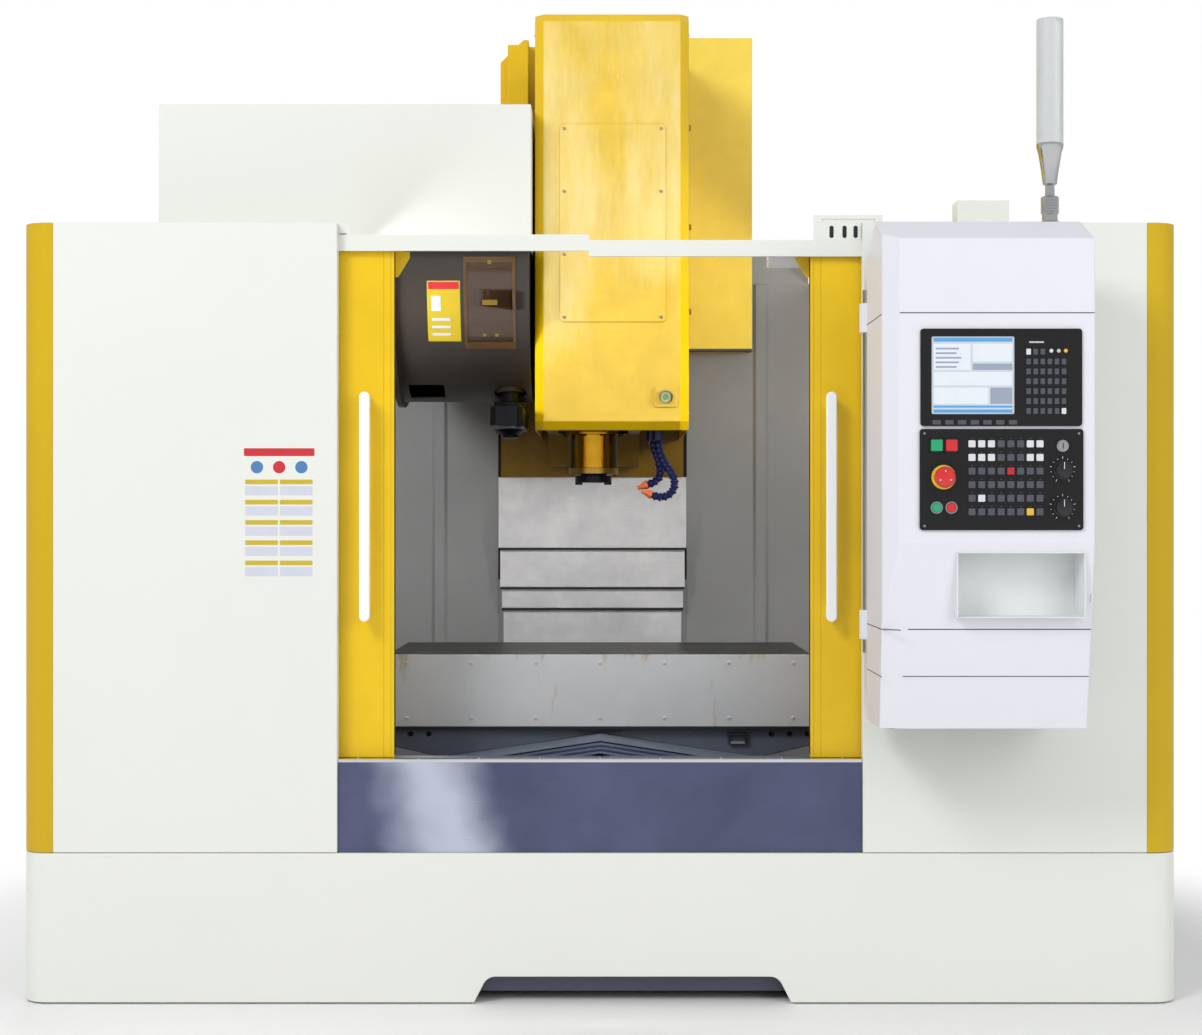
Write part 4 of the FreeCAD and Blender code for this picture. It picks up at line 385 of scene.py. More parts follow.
def rounded(a, b, radius, steps=5):
    """Outline of a rectangle with rounded corners."""
    corners = [(a[1] - radius, b[1] - radius, 0), (a[0] + radius, b[1] - radius, 90),
               (a[0] + radius, b[0] + radius, 180), (a[1] - radius, b[0] + radius, 270)]
    outline = []
    for across, up, start in corners:
        for step in range(steps + 1):
            turn_by = math.radians(start + 90 * step / steps)
            outline.append((across + radius * math.cos(turn_by), up + radius * math.sin(turn_by)))
    return outline


def turned(bm, axis, centre, profile, count=32, slot=0):
    """Round solid from (radius, along) pairs, which close on themselves where both ends have a radius."""
    rings = [hoop(bm, axis, centre, along, [radius] * (1 if radius < POINT else count))
             for radius, along in profile]
    pairs = list(zip(rings, rings[1:]))
    if len(rings[0]) > 1 and len(rings[-1]) > 1:
        pairs.append((rings[-1], rings[0]))
    for one, two in pairs:
        for i in range(count):
            k = (i + 1) % count
            corners = [one[i % len(one)], one[k % len(one)], two[k % len(two)], two[i % len(two)]]
            unique = list(dict.fromkeys(corners))
            if len(unique) > 2:
                bm.faces.new(unique).material_index = slot


def swept(bm, path, radii, count=16, slot=0):
    """Round tube along points, with a radius at each, closed at both ends."""
    rings = []
    side = Vector((0, 1, 0))
    for i, spot in enumerate(path):
        ahead = (path[min(i + 1, len(path) - 1)] - path[max(i - 1, 0)]).normalized()
        across = ahead.cross(side).normalized()
        up = across.cross(ahead)
        rings.append([bm.verts.new(spot + radii[i] * (math.cos(2 * math.pi * k / count) * across
                                                      + math.sin(2 * math.pi * k / count) * up))
                      for k in range(count)])
    loft(bm, rings, slot)


def screw(bm, axis, centre, seat, way, radius=5.5, slot=0):
    """Button-head screw with a socket; way is +1 or -1, the side of its seat that the head stands on."""
    high = radius * 0.62
    profile = [(0, 0.35 * high), (0.42 * radius, 0.35 * high), (0.46 * radius, high), (0.72 * radius, high),
               (0.95 * radius, 0.55 * high), (radius, 0), (0, 0)]
    turned(bm, axis, centre, [(r, seat + way * t) for r, t in profile], 18, slot)


def screws(bm, axis, firsts, seconds, seat, way, radius=5.5, slot=0):
    """Screws wherever two lists of coordinates cross."""
    for first in firsts:
        for second in seconds:
            screw(bm, axis, (first, second), seat, way, radius, slot)


def show(bm, name, finishes, body, stands_for=(), edge=0.0, angle=32):
    """Turn a mesh in the making into a piece: scale, shading, soft edges, finish, body."""
    bmesh.ops.scale(bm, vec=(1 / MM,) * 3, verts=bm.verts)
    bmesh.ops.recalc_face_normals(bm, faces=bm.faces)
    mesh = bpy.data.meshes.new(name)
    bm.to_mesh(mesh)
    bm.free()
    for title in finishes:
        mesh.materials.append(bpy.data.materials[title])
    mesh.shade_smooth()
    mesh.set_sharp_from_angle(angle=math.radians(angle))
    thing = bpy.data.objects.new(name, mesh)
    bpy.context.scene.collection.objects.link(thing)
    if edge:
        soft = thing.modifiers.new("Soft edges", "BEVEL")
        soft.width = edge / MM
        soft.segments = 2
        soft.limit_method = "ANGLE"
        soft.angle_limit = math.radians(angle)
        soft.use_clamp_overlap = False
        even = thing.modifiers.new("Even shading", "WEIGHTED_NORMAL")
        even.keep_sharp = True
    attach(thing, body)
    if stands_for:
        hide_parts(*stands_for)


def copied(node, picks=None):
    """Mesh of a CAD part with clean faces, in mm; picks tells which faces get the second finish."""
    bm = bmesh.new()
    bm.from_mesh(frame["nodes"][node].data)
    bmesh.ops.scale(bm, vec=(MM,) * 3, verts=bm.verts)
    bm.normal_update()
    for face in bm.faces:
        face.material_index = int(bool(picks and picks(face.calc_center_median(), face.normal)))
    bmesh.ops.remove_doubles(bm, verts=bm.verts, dist=0.01)
    bmesh.ops.dissolve_limit(bm, angle_limit=math.radians(0.8), verts=bm.verts, edges=bm.edges,
                             delimit={"MATERIAL"})
    return bm


def dress(node, title, edge, angle=32, other=None, picks=None):
    """Copy of a CAD part with soft edges, which stands for it."""
    titles = [title, other] if other else [title]
    show(copied(node, picks), node + "_skin", titles, BODY_OF[node], [node], edge, angle=angle)


def coat(node, title):
    """Give a CAD part that stays as it is its real finish."""
    for slot in frame["nodes"][node].material_slots:
        slot.material = bpy.data.materials[title]


def reach(node):
    """Lowest and highest corner of a CAD part in mm."""
    low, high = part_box(node)
    return [c * MM for c in low], [c * MM for c in high]


def ring(centre, radius, count, start=0.0):
    """Points evenly spread on a circle."""
    return [(centre[0] + radius * math.cos(math.radians(start + 360 * i / count)),
             centre[1] + radius * math.sin(math.radians(start + 360 * i / count))) for i in range(count)]


def spread(low, high, count):
    """Evenly spaced values from low to high."""
    return [low + (high - low) * i / (count - 1) for i in range(count)]


def raised(face, profile):
    """Profile from (radius, height) pairs over a front that looks along -Y."""
    return [(radius, face - height) for radius, height in profile]


def drum_face(up):
    """Y of the drum's front at a height."""
    return DRUM_AXIS[0] - math.sqrt(DRUM_RADIUS ** 2 - (up - DRUM_AXIS[1]) ** 2)


# ---------------------------------------------------------------- pieces

class MACHINE_OT_finishes(bpy.types.Operator):
    """Make every finish of the machine"""
    bl_idname = "machine.finishes"
    bl_label = "Finishes"

    def execute(self, context):
        make_finishes(context.scene.machine_cabinet, context.scene.machine_controls)
        return {"FINISHED"}


class MACHINE_OT_cabinet(bpy.types.Operator):
    """Panels, pillars, plinth, header, apron and roof"""
    bl_idname = "machine.cabinet"
    bl_label = "Cabinet"

    def execute(self, context):
        settings = context.scene.machine_cabinet
        fold, head = settings.fold * MM, settings.screw * MM
        for node in ("front_panels", "side_panels", "base_plinth", "magazine_hood"):
            dress(node, "powder coat, white", fold * 0.6)
        dress("roof_panels", "powder coat, white", 1.0, other="powder coat, wall grey",
              picks=lambda spot, normal: normal.z < -0.5 and spot.z < 2400)
        dress("corner_pillars", "enamel, pillar yellow", 1.2, angle=40)
        coat("header_beam", "powder coat, white")
        self.caps()
        front = reach("header_beam")[0][1]
        bm = bmesh.new()
        block(bm, (-804.5, -770), (front + 0.2, front + 3), (2364.2, 2392))
        block(bm, (672, 856), (front + 3.1, front + 5), (2382, 2416))
        # Black patches painted as the shade inside the bracket's three slots.
        for across in (706, 746, 780):
            prism(bm, "y", rounded((across, across + 13), (2350, 2388), 6), front - 0.3, front + 0.5, 1)
        show(bm, "header_plates", ["powder coat, white", "painted motor black"], "frame")
        dress("apron_panel", "stainless sheet, blued", 1.2)
        dress("coolant_tank", "powder coat, tank slate", 1.2)
        dress("chip_pan", "oiled steel cover", 0.8)
        dress("splash_walls", "powder coat, wall grey", 1.0, other="stainless sheet, clouded",
              picks=lambda spot, normal: (-392 < spot.x < 332 and 655 < spot.y < WALL_FACE - 2
                                          and spot.z < 1252))
        bm = bmesh.new()
        for across in ((-412, -383), (321.5, 350)):
            block(bm, across, (693.4, 696), (600, 2386))
        show(bm, "way_brushes", ["nitrile rubber"], "frame")
        bm = bmesh.new()
        wall_back = reach("splash_walls")[1][1]
        block(bm, (334, 804.5), (wall_back - 3, wall_back), (2385, 2515))
        show(bm, "rear_guard", ["powder coat, wall grey"], "frame", edge=0.8)
        low, high = reach("apron_panel")
        bm = bmesh.new()
        lip = [(low[1] - 0.2, high[2] - 9), (low[1] - 0.2, high[2] + 0.2), (low[1] + 42, high[2] + 0.2),
               (low[1] + 42, high[2] - 0.8), (low[1] + 1.2, high[2] - 0.8), (low[1] + 1.2, high[2] - 9)]
        prism(bm, "x", lip, low[0] + 1, high[0] - 1)
        screws(bm, "z", spread(low[0] + 60, high[0] - 60, 9), [low[1] + 24], high[2] + 0.2, 1, 5)
        show(bm, "sill_edge", ["stainless strip, bright"], "frame")
        self.panel_screws(head)
        self.side_vents()
        self.charts()
        return {"FINISHED"}

    def caps(self):
        """Closing plates on the hollow corner pillars."""
        bm = bmesh.new()
        (x, y), radius, inner, back = (1695, -940), 77, 1678, -923
        arc = [(x + radius * math.cos(turn), y + radius * math.sin(turn))
               for turn in map(math.radians, range(-90, 1, 9))]
        corner = [(inner, y - radius), *arc, (x + radius, back), (inner, back)]
        for side in SIDES:
            prism(bm, "z", [(side * a, b) for a, b in corner][::side], 2389, 2391.5)
        show(bm, "pillar_caps", ["enamel, pillar yellow"], "frame", edge=0.8)

    def panel_screws(self, head):
        """Screws of the roof and of the inside walls."""
        bm = bmesh.new()
        roof_edge = reach("roof_panels")[1][0] - 22
        screws(bm, "z", (-roof_edge, roof_edge), spread(-930, 700, 6), 2393, 1, head)
        screws(bm, "y", (-1380, -1150, 620, 1380), spread(620, 2300, 8), WALL_FACE, -1, head)
        for side in SIDES:
            screws(bm, "x", spread(-840, 600, 6), (520, 1300, 2250), side * 1507, -side, head)
        show(bm, "panel_screws", ["zinc plated steel"], "frame")

    def side_vents(self):
        """Louvres, the line of a flush door and its latch on each side panel, and the hood's seam."""
        bm = bmesh.new()
        half_width = reach("side_panels")[1][0]
        door_y, door_z, joint = (-640, 600), (560, 2250), 2.5
        for side in SIDES:
            face = side * half_width
            skin = sorted((face - side * 1.0, face + side * 0.1))
            for up in spread(720, 1160, 12):
                block(bm, skin, (-240, 260), (up, up + 11))
            for ahead in door_y:
                block(bm, skin, (ahead, ahead + joint), door_z)
            for up in door_z:
                block(bm, skin, (door_y[0], door_y[1] + joint), (up, up + joint))
        low, high = reach("magazine_hood")
        block(bm, (low[0] + 30, high[0] - 30), (low[1] - 0.1, low[1] + 0.6), (2432, 2433.5))
        show(bm, "cabinet_seams", ["gap shadow"], "frame")
        bm = bmesh.new()
        for side in SIDES:
            face = side * half_width
            skin = sorted((face - side * 2.0, face + side * 0.1))
            block(bm, skin, (-560, -520), (1340, 1460))
        show(bm, "side_latches", ["black oxide steel"], "frame", edge=0.4)

    def charts(self):
        """Plain colour fields on the left panel, where the machine carries its cards."""
        front = -1020
        bm = bmesh.new()
        prism(bm, "y", rounded((-1094, -870), (1300, 1706), 6), front - 0.6, front + 0.5, 0)
        prism(bm, "y", rounded((-1090, -874), (1678, 1702), 3), front - 0.9, front, 1)
        for up in spread(1310, 1558, 5):
            for across in (-1086, -980):
                prism(bm, "y", rounded((across, across + 100), (up + 34, up + 48), 2), front - 0.9, front, 2)
                prism(bm, "y", rounded((across, across + 100), (up, up + 28), 2), front - 0.8, front, 3)
        for across, slot in ((-1050, 4), (-982, 1), (-914, 4)):
            disc = [(0, front), (19, front), (19, front - 0.9), (0, front - 0.9)]
            turned(bm, "y", (across, 1644), disc, 32, slot)
        show(bm, "fluid_charts", ["powder coat, white", "card, signal red", "card, warm yellow",
                                  "card, pale grey", "card, steel blue"], "frame")


class MACHINE_OT_doors(bpy.types.Operator):
    """Sliding doors with handles, gaskets, panes and hangers"""
    bl_idname = "machine.doors"
    bl_label = "Doors"

    def execute(self, context):
        for side in ("left", "right"):
            dress(side + "_door", "enamel, machine yellow", 2.2)
            coat(side + "_door_window", "polycarbonate pane, clear")
            self.handle(side)
            self.gasket(side)
        return {"FINISHED"}

    def handle(self, side):
        """White bar with round ends on two feet."""
        low, high = reach(side + "_door_handle")
        grip_back = low[1] + 26
        bm = bmesh.new()
        half = (high[0] - low[0]) / 2 - 0.2
        outline = rounded((low[0] + 0.2, high[0] - 0.2), (low[2], high[2]), half, 8)
        prism(bm, "y", outline, low[1], grip_back)
        for foot in (low[2] + 30, high[2] - 30):
            section = rounded((low[0] + 4, high[0] - 4), (foot - 24, foot + 24), 11, 6)
            prism(bm, "y", section, grip_back - 2, high[1])
        show(bm, side + "_handle_bar", ["powder coat, handle white"], side + "_sliding_door",
             [side + "_door_handle"], edge=3.5, angle=50)

    def gasket(self, side):
        """Gasket round the pane and seal on the leading edge, with the edge's gusset and darker strips painted
        as the shade of its folds.
        """
        pane_low, pane_high = reach(side + "_door_window")
        leaf_low, leaf_high = reach(side + "_door")
        body = side + "_sliding_door"
        bm = bmesh.new()
        inner = rounded((pane_low[0] + 21, pane_high[0] - 21), (pane_low[2] + 21, pane_high[2] - 21), 34, 6)
        outer = rounded((pane_low[0] + 9, pane_high[0] - 9), (pane_low[2] + 9, pane_high[2] - 9), 46, 6)
        face = leaf_low[1]
        loft(bm, lines(bm, "y", ((inner, face + 2), (inner, face - 2), (outer, face - 2),
                                 (outer, face + 2))), closed=True)
        left = side == "left"
        edge = leaf_high[0] if left else leaf_low[0]
        inward = -1 if left else 1
        block(bm, (edge - 0.4, edge + 0.4), (leaf_low[1] + 6, leaf_high[1] - 6),
              (leaf_low[2] + 8, leaf_high[2] - 8))
        show(bm, side + "_gasket", ["nitrile rubber"], body, edge=0.5)
        bm = bmesh.new()
        top = leaf_high[2]
        gusset = [(-40, 2), (0, 2), (44, 6), (44, 24), (8, 84), (-40, 84)]
        near, far = (0.3, 4.2) if left else (5, 9)
        prism(bm, "y", [(edge - inward * out, top - down) for out, down in gusset],
              leaf_high[1] + near, leaf_high[1] + far)
        show(bm, side + "_hanger", ["enamel, machine yellow"], body, edge=0.6)
        bm = bmesh.new()
        # Darker strips painted as the shade of the folds along the leading edge.
        for reach_in in (9, 31):
            line = sorted((edge + inward * reach_in, edge + inward * (reach_in + 2.2)))
            block(bm, line, (face - 0.25, face + 0.5), (leaf_low[2] + 3, top - 3))
        show(bm, side + "_fold_shades", ["enamel, pillar yellow"], body)


class MACHINE_OT_head(bpy.types.Operator):
    """Head cover, spindle nose, coolant line and Z way covers"""
    bl_idname = "machine.head"
    bl_label = "Head"

    def execute(self, context):
        head = context.scene.machine_cabinet.screw * MM
        self.cover()
        dress("headstock_casting", "enamel, dull yellow", 3.0)
        dress("spindle_motor", "painted motor black", 3.0)
        dress("spindle_cartridge", "spindle steel, oiled", 0.8)
        dress("chain_cover", "enamel, straw yellow", 2.5)
        dress("spindle_shaft", "black oxide steel", 0.8)
        for node in ("z_cover_top", "z_cover_upper", "z_cover_lower"):
            dress(node, "stainless sheet, clouded", 0.8)
            low, high = reach(node)
            bm = bmesh.new()
            block(bm, (low[0], high[0]), (low[1] - 1.4, low[1] + 2), (low[2] - 0.2, low[2] + 7), 0)
            block(bm, (low[0] + 2, high[0] - 2), (low[1] - 2.2, low[1] + 1), (low[2] + 7, low[2] + 11), 1)
            show(bm, node + "_wiper", ["nitrile rubber", "stainless strip, bright"], BODY_OF[node],
                 edge=0.6)
        low, high = reach("chain_cover")
        # Dark strip painted as the shadow under the chain cover's lower edge.
        bm = bmesh.new()
        block(bm, (low[0], high[0]), (low[1] - 0.3, low[1] + 60), (low[2] - 0.2, low[2] + 9))
        show(bm, "chain_cover_shadow_strip", ["gap shadow"], "frame", edge=1)
        bm = bmesh.new()
        screws(bm, "y", (-122, 208), spread(2173, 2816, 4), HEAD_FACE, -1, head)
        for side, face in ((-1, -223), (1, 304)):
            screws(bm, "x", (-200, 560), spread(1850, 3150, 6), face, side, head)
        show(bm, "head_screws", ["zinc plated steel"], "head")
        self.sight()
        self.nose()
        self.coolant()
        return {"FINISHED"}

    def cover(self):
        """Head cover with the upper and lower front edges bevelled like the upright ones, its front in a
        lighter copy of the yellow as painted light.
        """
        bm = copied("head_cover")
        low, high = reach("head_cover")
        bevel, front = 30, -275
        for level in (low[2] + bevel, high[2] - bevel):
            bmesh.ops.bisect_plane(bm, geom=bm.verts[:] + bm.edges[:] + bm.faces[:], plane_co=(0, 0, level),
                                   plane_no=(0, 0, 1))
        for vert in bm.verts:
            if vert.co.y < front + 40 and (vert.co.z < low[2] + 4 or vert.co.z > high[2] - 4):
                vert.co.y += bevel
        bm.normal_update()
        # Front faces take the lighter copy of the yellow, the bevels and sides the machine yellow: painted
        # light.
        for face in bm.faces:
            face.material_index = int(face.normal.y > -0.9)
        show(bm, "head_cover_skin", ["enamel, pale yellow", "enamel, machine yellow"], "head",
             ["head_cover"], 2.5, angle=28)

    def sight(self):
        """Sight glass on the head cover, and the knobs of the cover's left side."""
        bm = bmesh.new()
        spot = (224, 1901)
        bezel = ((17, 0), (17, 7), (19, 9), (23, 7), (24, 0))
        lens = ((0, 6.5), (11, 6.2), (17, 4), (17, 1), (0, 1))
        for slot, profile in enumerate((bezel, lens)):
            turned(bm, "y", spot, raised(HEAD_FACE, profile), 40, slot)
        show(bm, "sight_glass", ["zinc plated steel", "sight glass, green"], "head")
        bm = bmesh.new()
        for up in (2198, 2488, 2829):
            turned(bm, "x", (-222, up), [(0, 303), (10, 303), (11, 306), (11, 310), (8, 313), (0, 313)], 24)
        show(bm, "cover_knobs", ["brass"], "head")

    def nose(self):
        """Cap screws of the spindle's flange and nose, and the brass ring between them."""
        bm = bmesh.new()
        for circle, count, start, seat, radius in ((106, 8, 22.5, 1780, 8), (74, 6, 0, 1640, 5)):
            for spot in ring(SPINDLE_AXIS, circle, count, start):
                screw(bm, "z", spot, seat, -1, radius)
        show(bm, "spindle_screws", ["black oxide steel"], "head")
        bm = bmesh.new()
        turned(bm, "z", SPINDLE_AXIS, [(86.6, 1642), (88, 1644), (88, 1662), (86.6, 1664)], 64)
        show(bm, "spindle_ring", ["brass"], "head", edge=0.5)

    def coolant(self):
        """Two ball-jointed lines: a cup and a ball per segment, hex adapters and orange nozzles."""
        across, top, low, wide, segment = 201, 1800, 1765, 15, 16.5
        routes = [
            (-120, [(0, 0), (2, -45), (24, -90), (57, -132), (61, -172), (37, -200), (4, -208),
                    (-31, -192)]),
            (-84, [(-20, 0), (-12, -40), (4, -80), (14, -120), (0, -150), (-35, -160)]),
        ]
        bm = bmesh.new()
        block(bm, (146, 231), (-150, -78), (top, top + 30), 2)
        for ahead, route in routes:
            curve = bpy.data.curves.new("route", "CURVE")
            curve.dimensions = "3D"
            line = curve.splines.new("NURBS")
            line.points.add(len(route) - 1)
            for point, (x, z) in zip(line.points, route):
                point.co = (across + x, ahead, low + z, 1)
            line.order_u = 3
            line.use_endpoint_u = True
            curve.resolution_u = 24
            carrier = bpy.data.objects.new("route", curve)
            mesh = bpy.data.meshes.new_from_object(carrier)
            dots = [v.co.copy() for v in mesh.vertices]
            bpy.data.objects.remove(carrier)
            bpy.data.meshes.remove(mesh)
            spots = [dots[0]]
            for dot in dots:
                if (dot - spots[-1]).length >= segment:
                    spots.append(dot)
            turned(bm, "z", (spots[0].x, spots[0].y), [(0, top), (wide * 1.25, top), (wide * 1.25, low - 6),
                                                      (wide, low - 10), (0, low - 10)], 6, 0)
            for here, there in zip(spots, spots[1:]):
                step = there - here
                shares = (0.0, 0.08, 0.5, 0.62, 0.74, 0.9, 1.08)
                radii = (0.8, 1.0, 0.94, 0.7, 0.72, 0.82, 0.74)
                swept(bm, [here + step * share for share in shares], [wide * r for r in radii], 18, 0)
            way = (spots[-1] - spots[-2]).normalized()
            tip = [spots[-1] + way * out for out in (0, 6, 26, 38)]
            swept(bm, tip, [wide, wide, wide * 0.55, wide * 0.4], 18, 1)
        show(bm, "coolant_hoses", ["acetal, blue", "acetal, orange", "anodised aluminium"], "head",
             ["coolant_line"])


class MACHINE_OT_slides(bpy.types.Operator):
    """Bed, column, saddle, table and the Y way covers"""
    bl_idname = "machine.slides"
    bl_label = "Slides"

    def execute(self, context):
        for node, title, edge in (
                ("bed_casting", "painted grey iron", 3.0), ("saddle_casting", "painted grey iron", 3.0),
                ("magazine_frame", "painted motor black", 3.0),
                ("column_casting", "enamel, machine yellow", 3.0),
                ("work_table", "ground iron, oiled", 1.0), ("table_guard", "enamel, guard grey", 1.5),
                ("y_cover_near", "oiled steel cover", 0.8), ("y_cover_far", "oiled steel cover", 0.8),
                ("axis_motors", "painted motor black", 2.0), ("x_feed_motor", "painted motor black", 2.0)):
            dress(node, title, edge)
        self.bolts()
        self.screw_threads()
        self.feet()
        return {"FINISHED"}

    def bolts(self):
        """Cap screws of guard, column foot and saddle, a black strip painted as the shadow under the guard
        with a small bracket behind it, and the clip on the saddle.
        """
        bm = bmesh.new()
        low, high = reach("table_guard")
        screws(bm, "y", spread(low[0] + 60, high[0] - 60, 7), (826, 1008), low[1], -1, 6)
        show(bm, "guard_screws", ["enamel, guard grey"], "table")
        bm = bmesh.new()
        # Black strip painted as the shadow under the guard's lower edge, and a small bracket behind it.
        under = low[2] + 0.2
        block(bm, (low[0] + 2, high[0] - 2), (low[1] + 3, low[1] + 14), (under - 9, under))
        tray = [(-88, under), (88, under), (70, under - 19), (-70, under - 19)]
        prism(bm, "y", tray, low[1] + 16, low[1] + 44)
        show(bm, "guard_shadow_strip", ["painted motor black"], "table", edge=0.8)
        bm = bmesh.new()
        block(bm, (425, 489), (-474, -449.5), (768, 776))
        for across in (427, 481):
            block(bm, (across, across + 6), (-472, -449.5), (738, 768))
        block(bm, (433, 481), (-470, -449.5), (738, 747), 1)
        show(bm, "saddle_clip", ["painted motor black", "zinc plated steel"], "saddle", edge=0.6)
        bm = bmesh.new()
        screws(bm, "y", (-690, -630, -570, 570, 630, 690), [770], -450, -1, 9)
        show(bm, "saddle_screws", ["black oxide steel"], "saddle")
        bm = bmesh.new()
        for across in (-495, 435):
            for ahead in spread(840, 1380, 4):
                turned(bm, "z", (across, ahead), [(0, 640), (24, 640), (24, 664), (20, 668), (0, 668)], 6)
        show(bm, "column_bolts", ["black oxide steel"], "frame", edge=0.8)

    def screw_threads(self):
        """Ball screws with their rounded thread between two plain ends."""
        count, outer, deep, per_turn = 20, 19.9, 2.2, 6
        for axis in "xyz":
            node = axis + "_ball_screw"
            low, high = reach(node)
            first, second, third = AXES[axis]
            centre = ((low[first] + high[first]) / 2, (low[second] + high[second]) / 2)
            start, end = low[third], high[third]
            steps = int((end - start - 120) / THREAD_PITCH) * per_turn
            stations = [(start, False), (start + 60, False)]
            stations += [(start + 60 + THREAD_PITCH / per_turn * i, True) for i in range(steps + 1)]
            stations += [(end - 50, False), (end, False)]
            bm = bmesh.new()
            rings = []
            for along, threaded in stations:
                turn = 2 * math.pi * along / THREAD_PITCH
                waves = [math.cos(turn - 2 * math.pi * i / count) if threaded else 0.0
                         for i in range(count)]
                rings.append(hoop(bm, axis, centre, along, [outer - deep * max(0.0, w) for w in waves]))
            loft(bm, rings)
            show(bm, node + "_thread", ["turned steel"], BODY_OF[node], [node], angle=60)

    def feet(self):
        """Levelling feet: rubber sole, plate, stud and hex nut."""
        bm = bmesh.new()
        sole = [(0, 0), (73, 0), (75, 2), (75, 5), (0, 5)]
        plate = [(0, 5), (74, 5), (75, 7), (74, 16), (70, 18), (26, 26), (21, 27), (0, 27)]
        stud = [(0, 26), (20, 26), (20, 60), (0, 60)]
        nut = [(0, 34), (31, 34), (34, 37), (34, 49), (31, 52), (0, 52)]
        for across in (-500, 500):
            for ahead in spread(-480, 1380, 4):
                for profile, corners, slot in ((sole, 40, 1), (plate, 40, 0), (stud, 20, 0), (nut, 6, 0)):
                    turned(bm, "z", (across, ahead), profile, corners, slot)
        show(bm, "machine_feet", ["zinc plated steel", "nitrile rubber"], "frame", ["levelling_feet"],
             angle=40)


class MACHINE_OT_magazine(bpy.types.Operator):
    """Tool magazine: drum, smoked window, pots with holders and the twin arm"""
    bl_idname = "machine.magazine"
    bl_label = "Tool magazine"

    def execute(self, context):
        dress("magazine_disc", "black oxide steel", 0.8)
        dress("tool_change_arm", "black oxide steel", 2.5)
        self.drum()
        self.holders()
        self.fingers()
        return {"FINISHED"}

    def drum(self):
        """Housing in drum paint, with its window pane as a smoked sheet, its latch and screws."""
        dress("magazine_housing", "enamel, drum brown", 0.7, 40, "polycarbonate pane, smoked",
              lambda spot, normal: (WINDOW_X[0] < spot.x < WINDOW_X[1]
                                    and WINDOW_Z[0] < spot.z < WINDOW_Z[1] and spot.y < -200))
        bm = bmesh.new()
        self.window_frame(bm)
        for across, up, wide, tall in ((-374, 2218, 26, 9), (-394, 2112, 6, 5), (-352, 2112, 6, 5),
                                       (-374, 2352, 7, 7)):
            face = drum_face(up)
            block(bm, (across - wide, across + wide), (face - 3.5, face + 3), (up - tall, up + tall), 1)
        show(bm, "drum_window_frame", ["bronze film", "brass"], "frame", edge=0.8)
        self.plate()

    def window_frame(self, bm):
        """Dark rim round the window, bent to the drum."""
        (left, right), (bottom, top) = WINDOW_X, WINDOW_Z
        rows = spread(bottom - 8, top + 8, 15)
        for low, high in zip(rows, rows[1:]):
            outline = [(drum_face(up) + out, up)
                       for up, out in ((low, -2.5), (low, 3), (high, 3), (high, -2.5))]
            spans = [(left - 6, left + 5), (right - 5, right + 6)]
            if low < bottom - 1 or high > top + 1:
                spans = [(left - 6, right + 6)]
            for across in spans:
                prism(bm, "x", outline, *across)

    def card(self, bm, x, z, lift, slot, steps=8):
        """Thin sheet that follows the drum."""
        line = [(drum_face(up) - lift, up) for up in spread(*z, steps)]
        back = [(ahead + lift + 0.3, up) for ahead, up in reversed(line)]
        prism(bm, "x", line + back, *x, slot)

    def plate(self):
        """Plain coloured card on the drum, bent to it, with a red band and grey bars."""
        bm = bmesh.new()
        self.card(bm, (-586, -474), (2092, 2290), 0.6, 0)
        self.card(bm, (-582, -478), (2262, 2286), 1.0, 1)
        for up in (2110, 2134, 2158):
            self.card(bm, (-572, -508), (up, up + 9), 1.0, 2, 3)
        self.card(bm, (-572, -540), (2190, 2240), 1.0, 2, 4)
        show(bm, "drum_card", ["card, warm yellow", "card, signal red", "card, pale grey"], "frame")

    def holders(self):
        """Tapered tool holders in the pots, every second one with a cutter."""
        bm = bmesh.new()
        holder = [(0, -592), (20, -592), (31, -595), (31, -600), (27, -602), (31, -604), (31, -609),
                  (20, -612), (18, -640), (0, -640)]
        cutter = [(0, -640), (9, -640), (9, -682), (7, -684), (0, -684)]
        for number, spot in enumerate(ring(DRUM_AXIS, 350, 24)):
            turned(bm, "x", spot, holder, 20, 0)
            if number % 2:
                turned(bm, "x", spot, cutter, 12, 1)
        show(bm, "stored_tools", ["turned steel", "black oxide steel"], "magazine")

    def fingers(self):
        """Locking fingers, hub cap and screws of the twin arm."""
        bm = bmesh.new()
        pin = [(0, 1796), (9, 1796), (9, 1868), (6, 1871), (0, 1871)]
        for side in SIDES:
            ahead = ARM_AXIS[1] + side * 292
            for offset in SIDES:
                turned(bm, "z", (ARM_AXIS[0] - side * 40, ahead + offset * 36), pin, 16)
            block(bm, sorted((ARM_AXIS[0] + side * 34, ARM_AXIS[0] + side * 50)),
                  (ahead - 14, ahead + 14), (1812, 1853))
        hub = [(0, 1766.5), (14, 1766.5), (30, 1772), (30, 1780), (0, 1780)]
        turned(bm, "z", ARM_AXIS, hub, 32)
        for spot in ring(ARM_AXIS, 46, 6):
            screw(bm, "z", spot, 1792, -1, 6)
        show(bm, "arm_fingers", ["black oxide steel"], "changer", edge=0.8)


